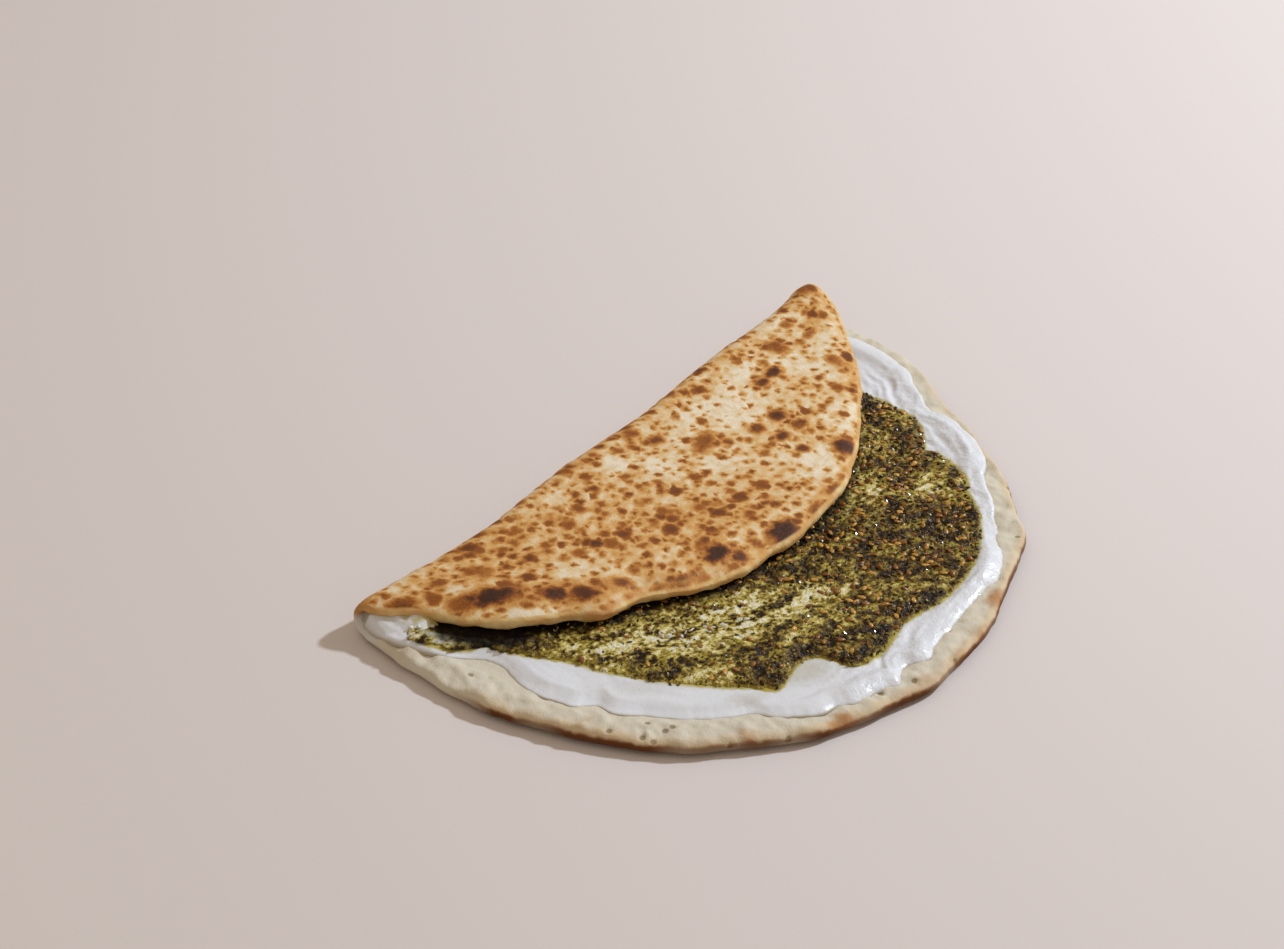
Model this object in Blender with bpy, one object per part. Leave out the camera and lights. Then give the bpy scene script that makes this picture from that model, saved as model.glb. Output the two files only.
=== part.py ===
"""Manakish: a thin flatbread spread with labneh and za'atar, then folded over itself.

The bread is filled as a flat disc and folded along a line that runs with X. A place on the flat disc
is (x, s), along and across the fold from the disc's centre, with a height above the resting face.
The function folded takes such a place to its position in space, so that the bread and both
spreads go round the fold together. Lengths are in metres, +Z is up and the bread rests on z = 0.
"""

import bisect
import math
import random

import bmesh
import bpy
from mathutils import Matrix, Vector, noise

MM = 0.001

# The flat disc. A wave is its number of crests round the edge, its height and its phase in degrees.
# A tip is a place where the dough was pulled out a little, or pushed in where its height is below 0: its
# angle, its height and its width in degrees.
DISC_RADIUS = 141.9 * MM
DISC_WAVES = ((1, 2.8 * MM, -160), (2, 6.3 * MM, 59), (3, 2.0 * MM, 81), (4, 1.0 * MM, 36), (5, 1.4 * MM, 27))
DISC_TIPS = (
    (23, 7.6 * MM, 8), (92, 3.0 * MM, 6), (105, 7.2 * MM, 9), (138, 6.6 * MM, 12), (156.5, 5.6 * MM, 4),
    (166, 1.3 * MM, 4), (-170, 0.8 * MM, 5), (-144, 1.2 * MM, 6), (-122, 2.4 * MM, 11), (-104.5, 2.5 * MM, 5),
    (-77, -3.1 * MM, 9), (-62.5, 2.1 * MM, 4), (-48, 1.4 * MM, 7), (-22, -2.1 * MM, 7), (-7.5, 2.3 * MM, 5),
)
DISC_CENTRE = Vector((0.5 * MM, 47.8 * MM, 0.0))

# The dough: thin in the middle, with a puffed rim whose crest lies between two distances from the edge.
DOUGH = 4.0 * MM
RIM_PUFF = 2.3 * MM
RIM_CREST = 8.0 * MM
RIM_FOOT = 20.0 * MM
RIM_ROUND = 3.6 * MM
RIM_EDGE = 2.6 * MM
RIM_CURL = 1.0 * MM
RIM_BUMPS = 1.4 * MM
BUMP_SIZE = 14.0 * MM

# The fold: where the lower half ends, and the bend's radius, which the left tip pinches and the right opens.
FOLD_LEFT = -143.0 * MM
FOLD_RIGHT = 152.0 * MM
FOLD_LINE = 28.9 * MM
FOLD_WAVE = 1.0 * MM
FOLD_WAVE_LENGTH = 100.0 * MM
FOLD_WAVE_TROUGH = -75.0 * MM
TIP_TURN = 13.0 * MM
TIP_TURN_REACH = 0.085
FOLD_RADIUS = 7.1 * MM
TIP_PINCH = 2.3 * MM
TIP_PINCH_REACH = 0.06
TIP_FLARE = 3.0 * MM
TIP_FLARE_REACH = 0.09
FLAP_RIPPLE = 0.5 * MM
FLAP_RIPPLE_LENGTH = 120.0 * MM

# The two spreads: their edge on the flat disc as (degrees, radius), and their thickness.
LABNEH_EDGE = (
    (-178, 125), (-172, 125), (-165, 133), (-150, 135), (-135, 136), (-122, 141), (-110, 141), (-103, 135),
    (-90, 133), (-75, 133), (-60, 128), (-48, 126), (-34, 130), (-22, 127), (-8, 138), (8, 140),
    (30, 139), (60, 134), (90, 129), (120, 128), (145, 135), (158, 140), (170, 142), (176, 137),
)
ZAATAR_EDGE = (
    (-177, 118), (-165, 115), (-150, 117), (-135, 118), (-127, 122), (-119, 113), (-110, 123), (-100, 119),
    (-93, 116), (-80, 121), (-62, 121), (-42, 117), (-34, 110), (-20, 113), (-5, 112), (20, 114),
    (60, 111), (100, 107), (130, 109), (150, 116), (162, 119), (171, 126), (177, 124),
)
LABNEH_DEPTH = 1.6 * MM
LABNEH_LIP = 0.9 * MM
LABNEH_LIP_WIDTH = 14.0 * MM
ZAATAR_DEPTH = 1.3 * MM
SQUEEZE = 0.35
SPREAD_ROUND = 3.0 * MM
CLEARANCE = 0.4 * MM
EDGE_CLEARANCE = 0.7 * MM

# Sesame seeds that show on the za'atar.
SEED_LENGTH, SEED_WIDTH, SEED_HEIGHT = 3.2 * MM, 2.0 * MM, 1.3 * MM
SEED_COUNT = 64
SEED_SPACING = 10.5 * MM
SEED_MARGIN = 7.0 * MM

# Mesh density: points round a row and how they crowd to its ends, and the space between rows.
BREAD_POINTS, SPREAD_POINTS, ZAATAR_POINTS = 64, 36, 32
CROWDING = 1.2
FOLD_ROWS = 2.4 * MM
OPEN_ROWS = 9.5 * MM
END_ROWS = 0.9 * MM
END_GROWTH = 0.34


def smooth(low, high, value):
    """0 below low, 1 above high and an even rise between."""
    t = min(max((value - low) / (high - low), 0.0), 1.0)
    return t * t * (3.0 - 2.0 * t)


def disc_radius(angle):
    waves = sum(size * math.cos(crests * angle - math.radians(phase)) for crests, size, phase in DISC_WAVES)
    tips = sum(size * math.exp(-(((math.degrees(angle) - at) / width) ** 2)) for at, size, width in DISC_TIPS)
    return DISC_RADIUS + waves + tips


def edge_radius(edge, angle):
    """The radius of a spread at an angle, on a smooth closed curve through its edge points."""
    degrees = math.degrees(angle)
    count = len(edge)
    after = bisect.bisect_right([point[0] for point in edge], degrees)

    def point(index):
        turns, place = divmod(index, count)
        return edge[place][0] + 360.0 * turns, edge[place][1] * MM

    (a0, r0), (a1, r1), (a2, r2), (a3, r3) = (point(after + step) for step in (-2, -1, 0, 1))
    t = (degrees - a1) / (a2 - a1)
    slope1 = (r2 - r0) / (a2 - a0) * (a2 - a1)
    slope2 = (r3 - r1) / (a3 - a1) * (a2 - a1)
    hold = 2 * t**3 - 3 * t**2 + 1
    return hold * r1 + (1 - hold) * r2 + (t**3 - 2 * t**2 + t) * slope1 + (t**3 - t**2) * slope2


def share(x):
    """How far along the fold a place is, from 0 at its left tip to 1 at its right."""
    return (x - FOLD_LEFT) / (FOLD_RIGHT - FOLD_LEFT)


def fold_line(x):
    wave = FOLD_WAVE * math.cos(math.tau * (x - FOLD_WAVE_TROUGH) / FOLD_WAVE_LENGTH)
    return FOLD_LINE - wave + TIP_TURN * math.exp(-share(x) / TIP_TURN_REACH)


def fold_radius(x):
    pinch = TIP_PINCH * math.exp(-share(x) / TIP_PINCH_REACH)
    flare = TIP_FLARE * math.exp((share(x) - 1.0) / TIP_FLARE_REACH)
    return FOLD_RADIUS - pinch + flare


def folded(x, s, height):
    """The position in space of a place on the flat disc, at a height above its outer skin."""
    line, radius = fold_line(x), fold_radius(x)
    turn = min(max((s - line) / radius, 0.0), math.pi)
    past = max(s - line - math.pi * radius, 0.0)
    inward = height - DOUGH / 2
    ripple = FLAP_RIPPLE * math.sin(math.tau * x / FLAP_RIPPLE_LENGTH) * smooth(0.0, 80.0 * MM, past)
    y = min(s, line) + (radius - inward) * math.sin(turn) - past
    z = DOUGH / 2 + radius - (radius - inward) * math.cos(turn) + ripple
    return DISC_CENTRE + Vector((x, y, z))


def at_fold(x, s):
    """1 inside the bend, falling to 0 a little way outside it."""
    start, end = fold_line(x), fold_line(x) + math.pi * fold_radius(x)
    reach = 16.0 * MM
    return smooth(start - reach, start, s) * (1.0 - smooth(end, end + reach, s))


def from_edge(x, s):
    """The distance in from the disc's edge."""
    return disc_radius(math.atan2(s, x)) - math.hypot(x, s)


def rim(x, s):
    """1 on the puffed rim and 0 in the middle and round the bend."""
    return (1.0 - smooth(RIM_CREST, RIM_FOOT, from_edge(x, s))) * (1.0 - at_fold(x, s))


def crumb_face(x, s):
    """The height of the bread's inner face: flat in the middle, puffed along the rim, bumpy at its edge."""
    bumps = RIM_BUMPS * noise.noise(Vector((x, s, 0.0)) / BUMP_SIZE)
    bare = 1.0 - smooth(0.0, RIM_CREST, from_edge(x, s))
    return DOUGH + (RIM_PUFF + bumps * bare) * rim(x, s)


def rounded(distance, width):
    """How much of its full depth a layer has at a distance in from its round edge."""
    short = 1.0 - min(distance / width, 1.0)
    return math.sqrt(max(1.0 - short * short, 0.0))


def bread_heights(x, s, distance):
    """The heights of the bread's outer skin and inner face."""
    depth = rounded(distance, RIM_ROUND)
    curl = RIM_CURL * (1.0 - smooth(0.0, 9.0 * MM, distance))
    return RIM_EDGE + (curl - RIM_EDGE) * depth, RIM_EDGE + (crumb_face(x, s) - RIM_EDGE) * depth


def labneh_base(x, s):
    """The height of the labneh's lower face, a little clear of the bread and more so by the rim."""
    near_rim = 1.0 - smooth(RIM_CREST, 1.5 * RIM_FOOT, from_edge(x, s))
    return crumb_face(x, s) + CLEARANCE + EDGE_CLEARANCE * near_rim * (1.0 - at_fold(x, s))


def labneh_lip(distance):
    """1 at the labneh's edge, falling to 0 where its thick lip ends."""
    return 1.0 - smooth(0.0, LABNEH_LIP_WIDTH, distance)


def labneh_face(x, s, distance):
    """The height of the labneh's upper face. Only the lower half keeps its thick lip."""
    lip = labneh_lip(distance) * (1.0 - smooth(0.0, fold_line(x), s))
    return labneh_base(x, s) + (LABNEH_DEPTH + LABNEH_LIP * lip) * (1.0 - SQUEEZE * at_fold(x, s))


def labneh_heights(x, s, distance):
    low = labneh_base(x, s)
    high = labneh_face(x, s, distance)
    middle = low + 0.4 * (high - low)
    depth = rounded(distance, SPREAD_ROUND)
    return middle + (low - middle) * depth, middle + (high - middle) * depth


def zaatar_heights(x, s, distance):
    angle = math.atan2(s, x)
    inside = edge_radius(LABNEH_EDGE, angle) - math.hypot(x, s)
    near_lip = 1.0 - smooth(0.4 * LABNEH_LIP_WIDTH, 2.0 * LABNEH_LIP_WIDTH, inside)
    low = labneh_face(x, s, inside) + CLEARANCE + EDGE_CLEARANCE * near_lip
    high = low + ZAATAR_DEPTH * (1.0 - SQUEEZE * at_fold(x, s))
    middle = low + 0.3 * (high - low)
    depth = rounded(distance, SPREAD_ROUND)
    return middle + (low - middle) * depth, middle + (high - middle) * depth


def rows_across(radius):
    """Places from -1 to 1 across a disc: close together at its two ends and where it bends."""
    bend = (FOLD_LINE - 3.0 * MM, FOLD_LINE + math.pi * FOLD_RADIUS + 5.0 * MM)
    places = [-radius]
    while places[-1] < radius:
        s = places[-1]
        step = min(OPEN_ROWS, END_ROWS + END_GROWTH * max(min(s + radius, radius - s), 0.0))
        if bend[0] - OPEN_ROWS < s < bend[1]:
            step = min(step, FOLD_ROWS if s > bend[0] else 0.5 * (OPEN_ROWS + FOLD_ROWS))
        places.append(s + step)
    scale = 2.0 / (places[-1] - places[0])
    return [(place - places[0]) * scale - 1.0 for place in places]


def layer(name, radius_at, heights, points, material):
    """A closed layer made from a sphere whose poles lie across the fold, pressed flat and folded."""
    mean = sum(radius_at(math.tau * step / 48 - math.pi) for step in range(48)) / 48
    rows = rows_across(mean)
    last = len(rows) - 1
    shape = bmesh.new()
    lying = Matrix.Rotation(-math.pi / 2, 4, "X")
    bmesh.ops.create_uvsphere(shape, u_segments=points, v_segments=last, radius=1.0, matrix=lying)
    for vertex in shape.verts:
        row = last - round(math.acos(min(max(vertex.co.y, -1.0), 1.0)) / math.pi * last)
        across = rows[row]
        section = math.atan2(vertex.co.z, vertex.co.x)
        short = (1.0 - abs(math.cos(section))) ** CROWDING
        along = math.copysign(1.0 - short, math.cos(section)) * math.sqrt(max(1.0 - across * across, 0.0))
        angle = math.atan2(across, along)
        reach = min(math.hypot(along, across), 1.0)
        edge = radius_at(angle)
        radius = reach * (mean + (edge - mean) * reach)
        x, s = radius * math.cos(angle), radius * math.sin(angle)
        low, high = heights(x, s, edge - radius)
        vertex.co = folded(x, s, high if math.sin(section) > 0.0 else low)
    mesh = bpy.data.meshes.new(name)
    shape.to_mesh(mesh)
    shape.free()
    mesh.shade_smooth()
    mesh.materials.append(material)
    return bpy.data.objects.new(name, mesh)


def finish(name, colour, roughness):
    material = bpy.data.materials.new(name)
    material.use_nodes = True
    shader = material.node_tree.nodes["Principled BSDF"]
    shader.inputs["Base Color"].default_value = (*colour, 1.0)
    shader.inputs["Roughness"].default_value = roughness
    material.diffuse_color = (*colour, 1.0)
    return material


def flap_edge(x):
    """How far across the disc the free edge of the folded flap lies, seen from above."""
    far = math.sqrt(max(disc_radius(math.pi / 2) ** 2 - x * x, 0.0))
    return 2.0 * fold_line(x) + math.pi * fold_radius(x) - far


def seed_places():
    """Places on the za'atar in front of the flap, spread evenly and clear of its edge."""
    draw = random.Random(7)
    places = []
    tries = 0
    while len(places) < SEED_COUNT and tries < 20000:
        tries += 1
        x, s = draw.uniform(-0.13, 0.13), draw.uniform(-0.13, 0.05)
        inside = edge_radius(ZAATAR_EDGE, math.atan2(s, x)) - math.hypot(x, s)
        clear = all(math.hypot(x - a, s - b) > SEED_SPACING for a, b in places)
        if clear and inside > SEED_MARGIN and s < flap_edge(x) - SEED_MARGIN:
            places.append((x, s))
    return places


def seed(x, s, turn, material):
    """One sesame seed lying in the za'atar."""
    inside = edge_radius(ZAATAR_EDGE, math.atan2(s, x)) - math.hypot(x, s)
    centre = folded(x, s, zaatar_heights(x, s, inside)[1] + 0.2 * MM)
    size = Matrix.Diagonal((SEED_LENGTH / 2, SEED_WIDTH / 2, SEED_HEIGHT / 2, 1.0))
    shape = bmesh.new()
    place = Matrix.Translation(centre) @ Matrix.Rotation(turn, 4, "Z") @ size
    bmesh.ops.create_uvsphere(shape, u_segments=6, v_segments=4, radius=1.0, matrix=place)
    mesh = bpy.data.meshes.new("seed")
    shape.to_mesh(mesh)
    shape.free()
    mesh.materials.append(material)
    return bpy.data.objects.new("seed", mesh)


def fuse(obj, others):
    """Joins the others to the object by one Boolean union and removes them."""
    group = bpy.data.collections.new("fused")
    bpy.context.scene.collection.children.link(group)
    for other in others:
        group.objects.link(other)
    union = obj.modifiers.new("seeds", "BOOLEAN")
    union.operation = "UNION"
    union.operand_type = "COLLECTION"
    union.collection = group
    union.solver = "EXACT"
    bpy.context.view_layer.update()
    evaluated = obj.evaluated_get(bpy.context.evaluated_depsgraph_get())
    joined = bpy.data.meshes.new_from_object(evaluated)
    obj.modifiers.remove(union)
    plain, obj.data = obj.data, joined
    bpy.data.meshes.remove(plain)
    for other in others:
        bpy.data.meshes.remove(other.data)
    bpy.data.collections.remove(group)
    obj.data.name = obj.name


def main():
    for obj in list(bpy.data.objects):
        bpy.data.objects.remove(obj)
    food = bpy.data.collections.new("manakish")
    bpy.context.scene.collection.children.link(food)

    dough = finish("baked dough", (0.74, 0.52, 0.27), 0.75)
    cream = finish("labneh", (0.86, 0.87, 0.88), 0.35)
    herbs = finish("zaatar", (0.10, 0.085, 0.02), 0.4)

    bread = layer("bread", disc_radius, bread_heights, BREAD_POINTS, dough)
    labneh = layer("labneh", lambda a: edge_radius(LABNEH_EDGE, a), labneh_heights, SPREAD_POINTS, cream)
    zaatar = layer("zaatar", lambda a: edge_radius(ZAATAR_EDGE, a), zaatar_heights, ZAATAR_POINTS, herbs)
    for obj in (bread, labneh, zaatar):
        food.objects.link(obj)

    turns = random.Random(11)
    fuse(zaatar, [seed(x, s, turns.uniform(0.0, math.pi), herbs) for x, s in seed_places()])


main()
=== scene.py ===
"""The looks of a folded manakish: a flatbread spread with labneh and za'atar and folded over itself.

Each layer is meshed as a flat disc, where a place is (x, s), along and across the fold from the disc's
centre, with a height above the outer skin. A Geometry Nodes tree then folds it. Lengths are in metres
and sizes on the flat disc's own map are in millimetres.
"""

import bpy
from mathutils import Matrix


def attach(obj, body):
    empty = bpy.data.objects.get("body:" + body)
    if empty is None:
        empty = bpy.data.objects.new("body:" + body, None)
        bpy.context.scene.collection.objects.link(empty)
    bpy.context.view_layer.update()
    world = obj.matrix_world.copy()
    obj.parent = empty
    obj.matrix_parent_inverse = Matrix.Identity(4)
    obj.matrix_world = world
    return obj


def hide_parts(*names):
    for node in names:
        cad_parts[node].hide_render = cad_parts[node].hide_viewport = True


bl_info = {
    "name": "Folded manakish",
    "version": (1, 0, 0),
    "blender": (4, 5, 0),
    "location": "View3D > Sidebar > Manakish",
    "description": "Builds a folded flatbread with labneh, za'atar, sesame seeds and herb flakes",
    "category": "Object",
}

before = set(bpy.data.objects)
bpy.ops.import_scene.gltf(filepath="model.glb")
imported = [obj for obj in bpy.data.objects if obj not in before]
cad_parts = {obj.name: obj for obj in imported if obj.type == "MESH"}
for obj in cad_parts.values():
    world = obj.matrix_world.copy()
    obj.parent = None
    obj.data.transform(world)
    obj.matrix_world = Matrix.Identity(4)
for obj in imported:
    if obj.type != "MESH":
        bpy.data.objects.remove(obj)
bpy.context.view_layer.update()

import math

import bpy
import numpy as np
from mathutils import Matrix, Vector, noise
from mathutils.geometry import delaunay_2d_cdt

MM = 0.001
BODY = "root"

# The flat disc. A wave is its number of crests round the edge, its height and its phase in degrees. A
# tip is a place where the dough was pulled out a little, or pushed in where its height is below 0: its
# angle, its height and its width in degrees.
DISC_RADIUS = 141.9 * MM
DISC_CENTRE = Vector((0.5 * MM, 47.8 * MM, 0.0))
DISC_WAVES = (
    (1, 2.8 * MM, -160), (2, 6.3 * MM, 59), (3, 2.0 * MM, 81), (4, 1.0 * MM, 36), (5, 1.4 * MM, 27),
)
DISC_TIPS = (
    (23, 7.6 * MM, 8), (92, 3.0 * MM, 6), (105, 7.2 * MM, 9), (138, 6.6 * MM, 12),
    (156.5, 5.6 * MM, 4), (166, 1.3 * MM, 4), (-170, 0.8 * MM, 5), (-144, 1.2 * MM, 6),
    (-122, 2.4 * MM, 11), (-104.5, 2.5 * MM, 5), (-77, -3.1 * MM, 9), (-62.5, 2.1 * MM, 4),
    (-48, 1.4 * MM, 7), (-22, -2.1 * MM, 7), (-7.5, 2.3 * MM, 5),
)
# The flap's free edge: its small lobes in the same terms, how far it sags, how far its lip droops and
# the crease along the lip.
FLAP_LOBES = (
    (114, 1.2 * MM, 3), (121, -1.6 * MM, 4), (128.5, 2.2 * MM, 3), (133, -3.0 * MM, 3),
    (146, 0.9 * MM, 3),
)
FLAP_SAG = 1.8 * MM
LIP_DROOP = 1.2 * MM
CREASE_WIDTH = 0.7 * MM
CREASE_DEPTH = 0.35 * MM

# The dough: thin in the middle, with a puffed rim that is full as far in as its crest and gone at its
# foot. The very edge has a height of its own, rounds off over one width outside and another inside, and
# the outer face curls up towards it. Small dents are pressed into the rim.
DOUGH = 4.0 * MM
RIM_PUFF = 2.3 * MM
RIM_CREST = 8.0 * MM
RIM_FOOT = 20.0 * MM
RIM_ROUND = 3.6 * MM
INNER_ROUND = 2.6 * MM
RIM_EDGE = 2.6 * MM
RIM_CURL = 1.0 * MM
RIM_CURL_REACH = 9.0 * MM
RIM_BUMPS = 1.4 * MM
BUMP_SIZE = 14.0 * MM
DENT_COUNT = 240
DENT_SEED = 3

# The fold: where the lower half ends, and the bend's radius, which the left tip pinches and the right
# opens.
FOLD_LEFT = -143.0 * MM
FOLD_RIGHT = 152.0 * MM
FOLD_LINE = 28.9 * MM
FOLD_WAVE = 1.0 * MM
FOLD_WAVE_LENGTH = 100.0 * MM
FOLD_WAVE_TROUGH = -75.0 * MM
TIP_TURN = 13.0 * MM
TIP_TURN_REACH = 0.085
FOLD_RADIUS = 7.1 * MM
TIP_PINCH = 2.3 * MM
TIP_PINCH_REACH = 0.06
TIP_FLARE = 3.0 * MM
TIP_FLARE_REACH = 0.09
FLAP_RIPPLE = 0.5 * MM
FLAP_RIPPLE_LENGTH = 120.0 * MM
RIPPLE_START = 80.0 * MM
BEND_FADE = 16.0 * MM

# The two spreads: their edge on the flat disc as (degrees, radius in mm), their thickness, and the share
# of it that they lose in the bend.
LABNEH_EDGE = (
    (-179.5, 129.5), (-177, 126.2), (-174, 126.4), (-171.3, 129.4), (-168, 133.1), (-164.7, 135.5),
    (-162, 136), (-159.7, 137), (-157.7, 134.2), (-156.3, 132.9), (-155, 134.6), (-153.5, 136.6),
    (-148.4, 135.2), (-142.4, 136.3), (-135.4, 136.1), (-133.1, 134.4), (-131.2, 136.3), (-129.6, 139),
    (-126.2, 141.1), (-122.7, 142.4), (-119.7, 140.4), (-116.8, 141.8), (-112.7, 139.8), (-110.4, 140),
    (-108.7, 140.8), (-107.2, 137.4), (-105.6, 134.2), (-103.9, 133.4), (-102.5, 135.8),
    (-100.6, 136.4), (-98.1, 133), (-95.2, 131.2), (-92.5, 130.8), (-88, 129.8), (-82.3, 130.2),
    (-79.6, 131.1), (-77.3, 133), (-75, 133.2), (-72.2, 132.7), (-70, 131.7), (-67.3, 130),
    (-64.6, 128.5), (-61.7, 127.3), (-58.8, 126.1), (-52.8, 126.1), (-49.7, 124.7), (-46.6, 125.2),
    (-43.6, 127.7), (-40.8, 128.8), (-38, 129.4), (-35, 129.4), (-32, 128), (-29.5, 127.6),
    (-27.1, 126), (-24.6, 123.2), (-22.3, 123), (-19.1, 125.7), (-16.5, 127.8), (-14.8, 129.4),
    (-13.2, 132.2), (-11.6, 134), (-8.2, 135.6), (-5.1, 137.6), (-2.7, 138.6), (1.8, 139.4),
    (6, 138.4), (16, 139), (30, 139), (60, 134), (90, 129), (120, 128), (145, 135), (157, 143.5),
    (162, 145), (166, 145.5), (169, 145), (172, 143), (175, 140), (178, 135.5),
)
ZAATAR_EDGE = (
    (-178.6, 122), (-176, 120.5), (-171, 118), (-164, 114.5), (-155, 115.5), (-147, 117),
    (-137, 119.5), (-131, 121.5), (-127, 125), (-124, 119.5), (-121, 113.5), (-118, 112),
    (-115.5, 114.5), (-113, 122), (-110, 124.5), (-103, 120.5), (-97, 116), (-92, 117), (-86, 119.5),
    (-81.8, 120.5), (-77.2, 121.7), (-70.8, 121.6), (-62.7, 120.5), (-57.1, 119.2), (-53.9, 117.7),
    (-50.6, 116.6), (-47.3, 117.3), (-44.5, 115.7), (-41.3, 114), (-39.4, 112.5), (-37, 110.6),
    (-35.6, 106.9), (-33.6, 108), (-30.1, 110.8), (-27.7, 112.5), (-25.1, 113.5), (-19.2, 111.9),
    (-13.9, 109.9), (-8.3, 108), (3, 110), (20, 112), (60, 111), (100, 107), (130, 109), (150, 116),
    (162, 119), (168, 123), (169.5, 133), (171, 139.5), (173, 139), (175, 137), (177.5, 133),
    (179.5, 127.5),
)
LABNEH_DEPTH = 1.6 * MM
LABNEH_LIP = 0.9 * MM
LABNEH_LIP_WIDTH = 14.0 * MM
ZAATAR_DEPTH = 1.3 * MM
SQUEEZE = 0.35
# How far apart the layers are kept, and how much more by the rim. Each spread's lower face is sunk into
# the layer below, so that no gap shows.
CLEARANCE = 0.4 * MM
EDGE_CLEARANCE = 0.7 * MM
LABNEH_SINK = 0.6 * MM
ZAATAR_SINK = 0.5 * MM
# How soon each spread's own edge rounds off, and how far the herbs' fine mesh runs on under the flap.
LABNEH_ROUND = 2.2 * MM
ZAATAR_ROUND = 1.6 * MM
HERBS_UNDER_FLAP = 16.0 * MM
# How much room the labneh that fills the fold's left tip leaves under the flap, and within the bend.
PLUG_GAP = 3.6 * MM
BEND_GAP = 0.5 * MM
# Where the labneh was worked into folds, in degrees round the disc: where each place starts, is full,
# starts to fade and ends, and how strongly it was worked.
WORKED_LABNEH = (
    (-122, -112, -80, -66, 0.55), (-66, -56, -14, 2, 0.9), (155, 162, 172, 180, 1.0),
)

# The tables of spots below are (x, y, length, width, turn, strength), in mm and degrees. The first
# three are seen from above, and the others lie on the flat disc.
# Dark blisters on the flap where it lay on the griddle.
BLISTERS = (
    (-107, 53, 19, 8, -42, 0.95), (-92, 36, 9, 7, -50, 0.9), (-85, 28, 11, 7, -50, 0.85),
    (-88, 33, 26, 11, -47, 0.3), (-78, 28, 5, 5, 0, 0.6), (-71, 21, 7, 5, -30, 0.7),
    (-76, 24, 16, 8, -35, 0.3), (-116, 60, 12, 8, -42, 0.6), (-137, 92, 12, 8, 0, 0.3),
    (-130, 78, 12, 5, -42, 0.65), (-34, 4, 11, 9, 0, 1.0), (-29, -3, 7, 6, 0, 0.8),
    (-55, 5, 9, 5, -10, 0.75), (-6, -7, 13, 9, 0, 1.0), (54, 4, 11, 9, 45, 0.9),
    (21, 49, 14, 8, 20, 0.6), (96, 65, 8, 10, 0, 0.6), (80, 56, 9, 6, 0, 0.85), (71, 55, 6, 5, 0, 0.8),
    (55, 37, 8, 7, 0, 0.8), (42, 38, 7, 6, 0, 0.7), (-59, 42, 5, 5, 0, 0.8), (7, 75, 7, 6, 0, 0.6),
    (10, 65, 7, 6, 0, 0.7), (44, 27, 7, 5, 0, 0.75), (56, 27, 8, 6, 0, 0.7), (42, 16, 5, 5, 0, 0.75),
    (-32, 64, 4, 5, 0, 0.7), (103, 41, 6, 8, 0, 0.5), (112, 71, 5, 5, 0, 0.5),
    (113, 60, 9, 4, 10, 0.5), (139, 79, 9, 6, 30, 0.6), (-18, -3, 5, 4, 0, 0.6),
    (28, -8, 9, 4, 0, 0.6), (14, -9, 8, 4, 0, 0.6), (-99, 64, 8, 7, 0, 0.5),
)
# Where the griddle toasted the flap, and where it didn't.
TOAST_WASHES = (
    (-35, 15, 75, 60, 0, 0.75), (-90, 70, 90, 26, 0, 0.75), (-60, 45, 110, 50, 0, 0.65),
    (5, 10, 60, 26, 0, 0.6), (35, 78, 140, 12, 0, 0.55), (-20, 79, 60, 10, 0, 0.7),
    (105, 38, 70, 12, 38, 0.8), (30, -8, 80, 8, 3, 0.6), (70, 10, 46, 9, 33, 0.6),
    (50, 32, 50, 16, 10, 0.45), (75, 56, 30, 14, 0, 0.45), (125, 66, 46, 12, 33, 0.7),
    (24, 49, 26, 16, 20, 0.6), (-100, 45, 40, 24, -42, 0.7), (-112, 70, 24, 20, 0, 0.6),
    (12, 72, 24, 24, 0, 0.45), (88, 48, 34, 26, 20, 0.5), (60, 20, 40, 22, 0, 0.45),
    (40, 28, 36, 22, 0, 0.4), (104, 60, 50, 26, 20, 0.4), (98, 66, 20, 20, 0, 0.5),
    (-40, 68, 40, 18, 0, 0.5), (135, 80, 30, 18, 30, 0.55), (60, 72, 40, 12, 0, 0.4),
    (118, 56, 34, 18, 38, 0.45), (84, 72, 44, 16, 12, 0.4), (96, 44, 30, 12, 30, 0.4),
)
BARE_PATCHES = (
    (-120, 60, 14, 22, -50, 0.9), (-76, 36, 26, 14, -30, 0.9), (-47, 71, 12, 8, 0, 0.9),
    (-12, 67, 12, 12, 0, 0.7), (-4, 51, 12, 14, 0, 0.8), (40, 57, 34, 18, 0, 0.9),
    (72, 66, 26, 10, 0, 0.8), (92, 52, 18, 26, 30, 0.8), (112, 50, 26, 18, 35, 0.7),
    (72, 17, 28, 12, 20, 1.0), (-48, 16, 16, 10, 0, 0.7), (-18, 4, 12, 8, 0, 0.7),
    (36, 8, 20, 18, 30, 0.7), (-105, 36, 20, 10, -45, 0.8), (12, 38, 16, 10, 0, 0.6),
    (110, 72, 20, 10, 10, 0.6), (28, 20, 14, 10, 0, 0.4), (92, 33, 18, 8, 35, 0.5),
)
# Browned places on the rim and on the flap's lip.
RIM_BROWN = (
    (-74, -128, 13, 8, -30, 1.0), (-103, -106, 9, 9, -45, 0.5), (-134, -57, 12, 12, -65, 0.4),
    (21, -135, 11, 8, 5, 1.0), (3, -141, 18, 5, 3, 0.6), (-17, -141, 16, 5, -6, 0.5),
    (-36, -139, 16, 5, -15, 0.55), (-118, -97, 9, 5, -50, 0.5), (-73, 123, 62, 9, 31, 0.95),
    (-137, 52, 16, 12, 60, 0.9), (-40, 138, 30, 5, 16, 0.5), (-105, 93, 22, 7, 45, 0.4),
    (-140, 20, 10, 20, 0, 0.4), (60, -124, 14, 6, 15, 0.4), (104, -90, 14, 8, 40, 0.6),
)
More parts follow.
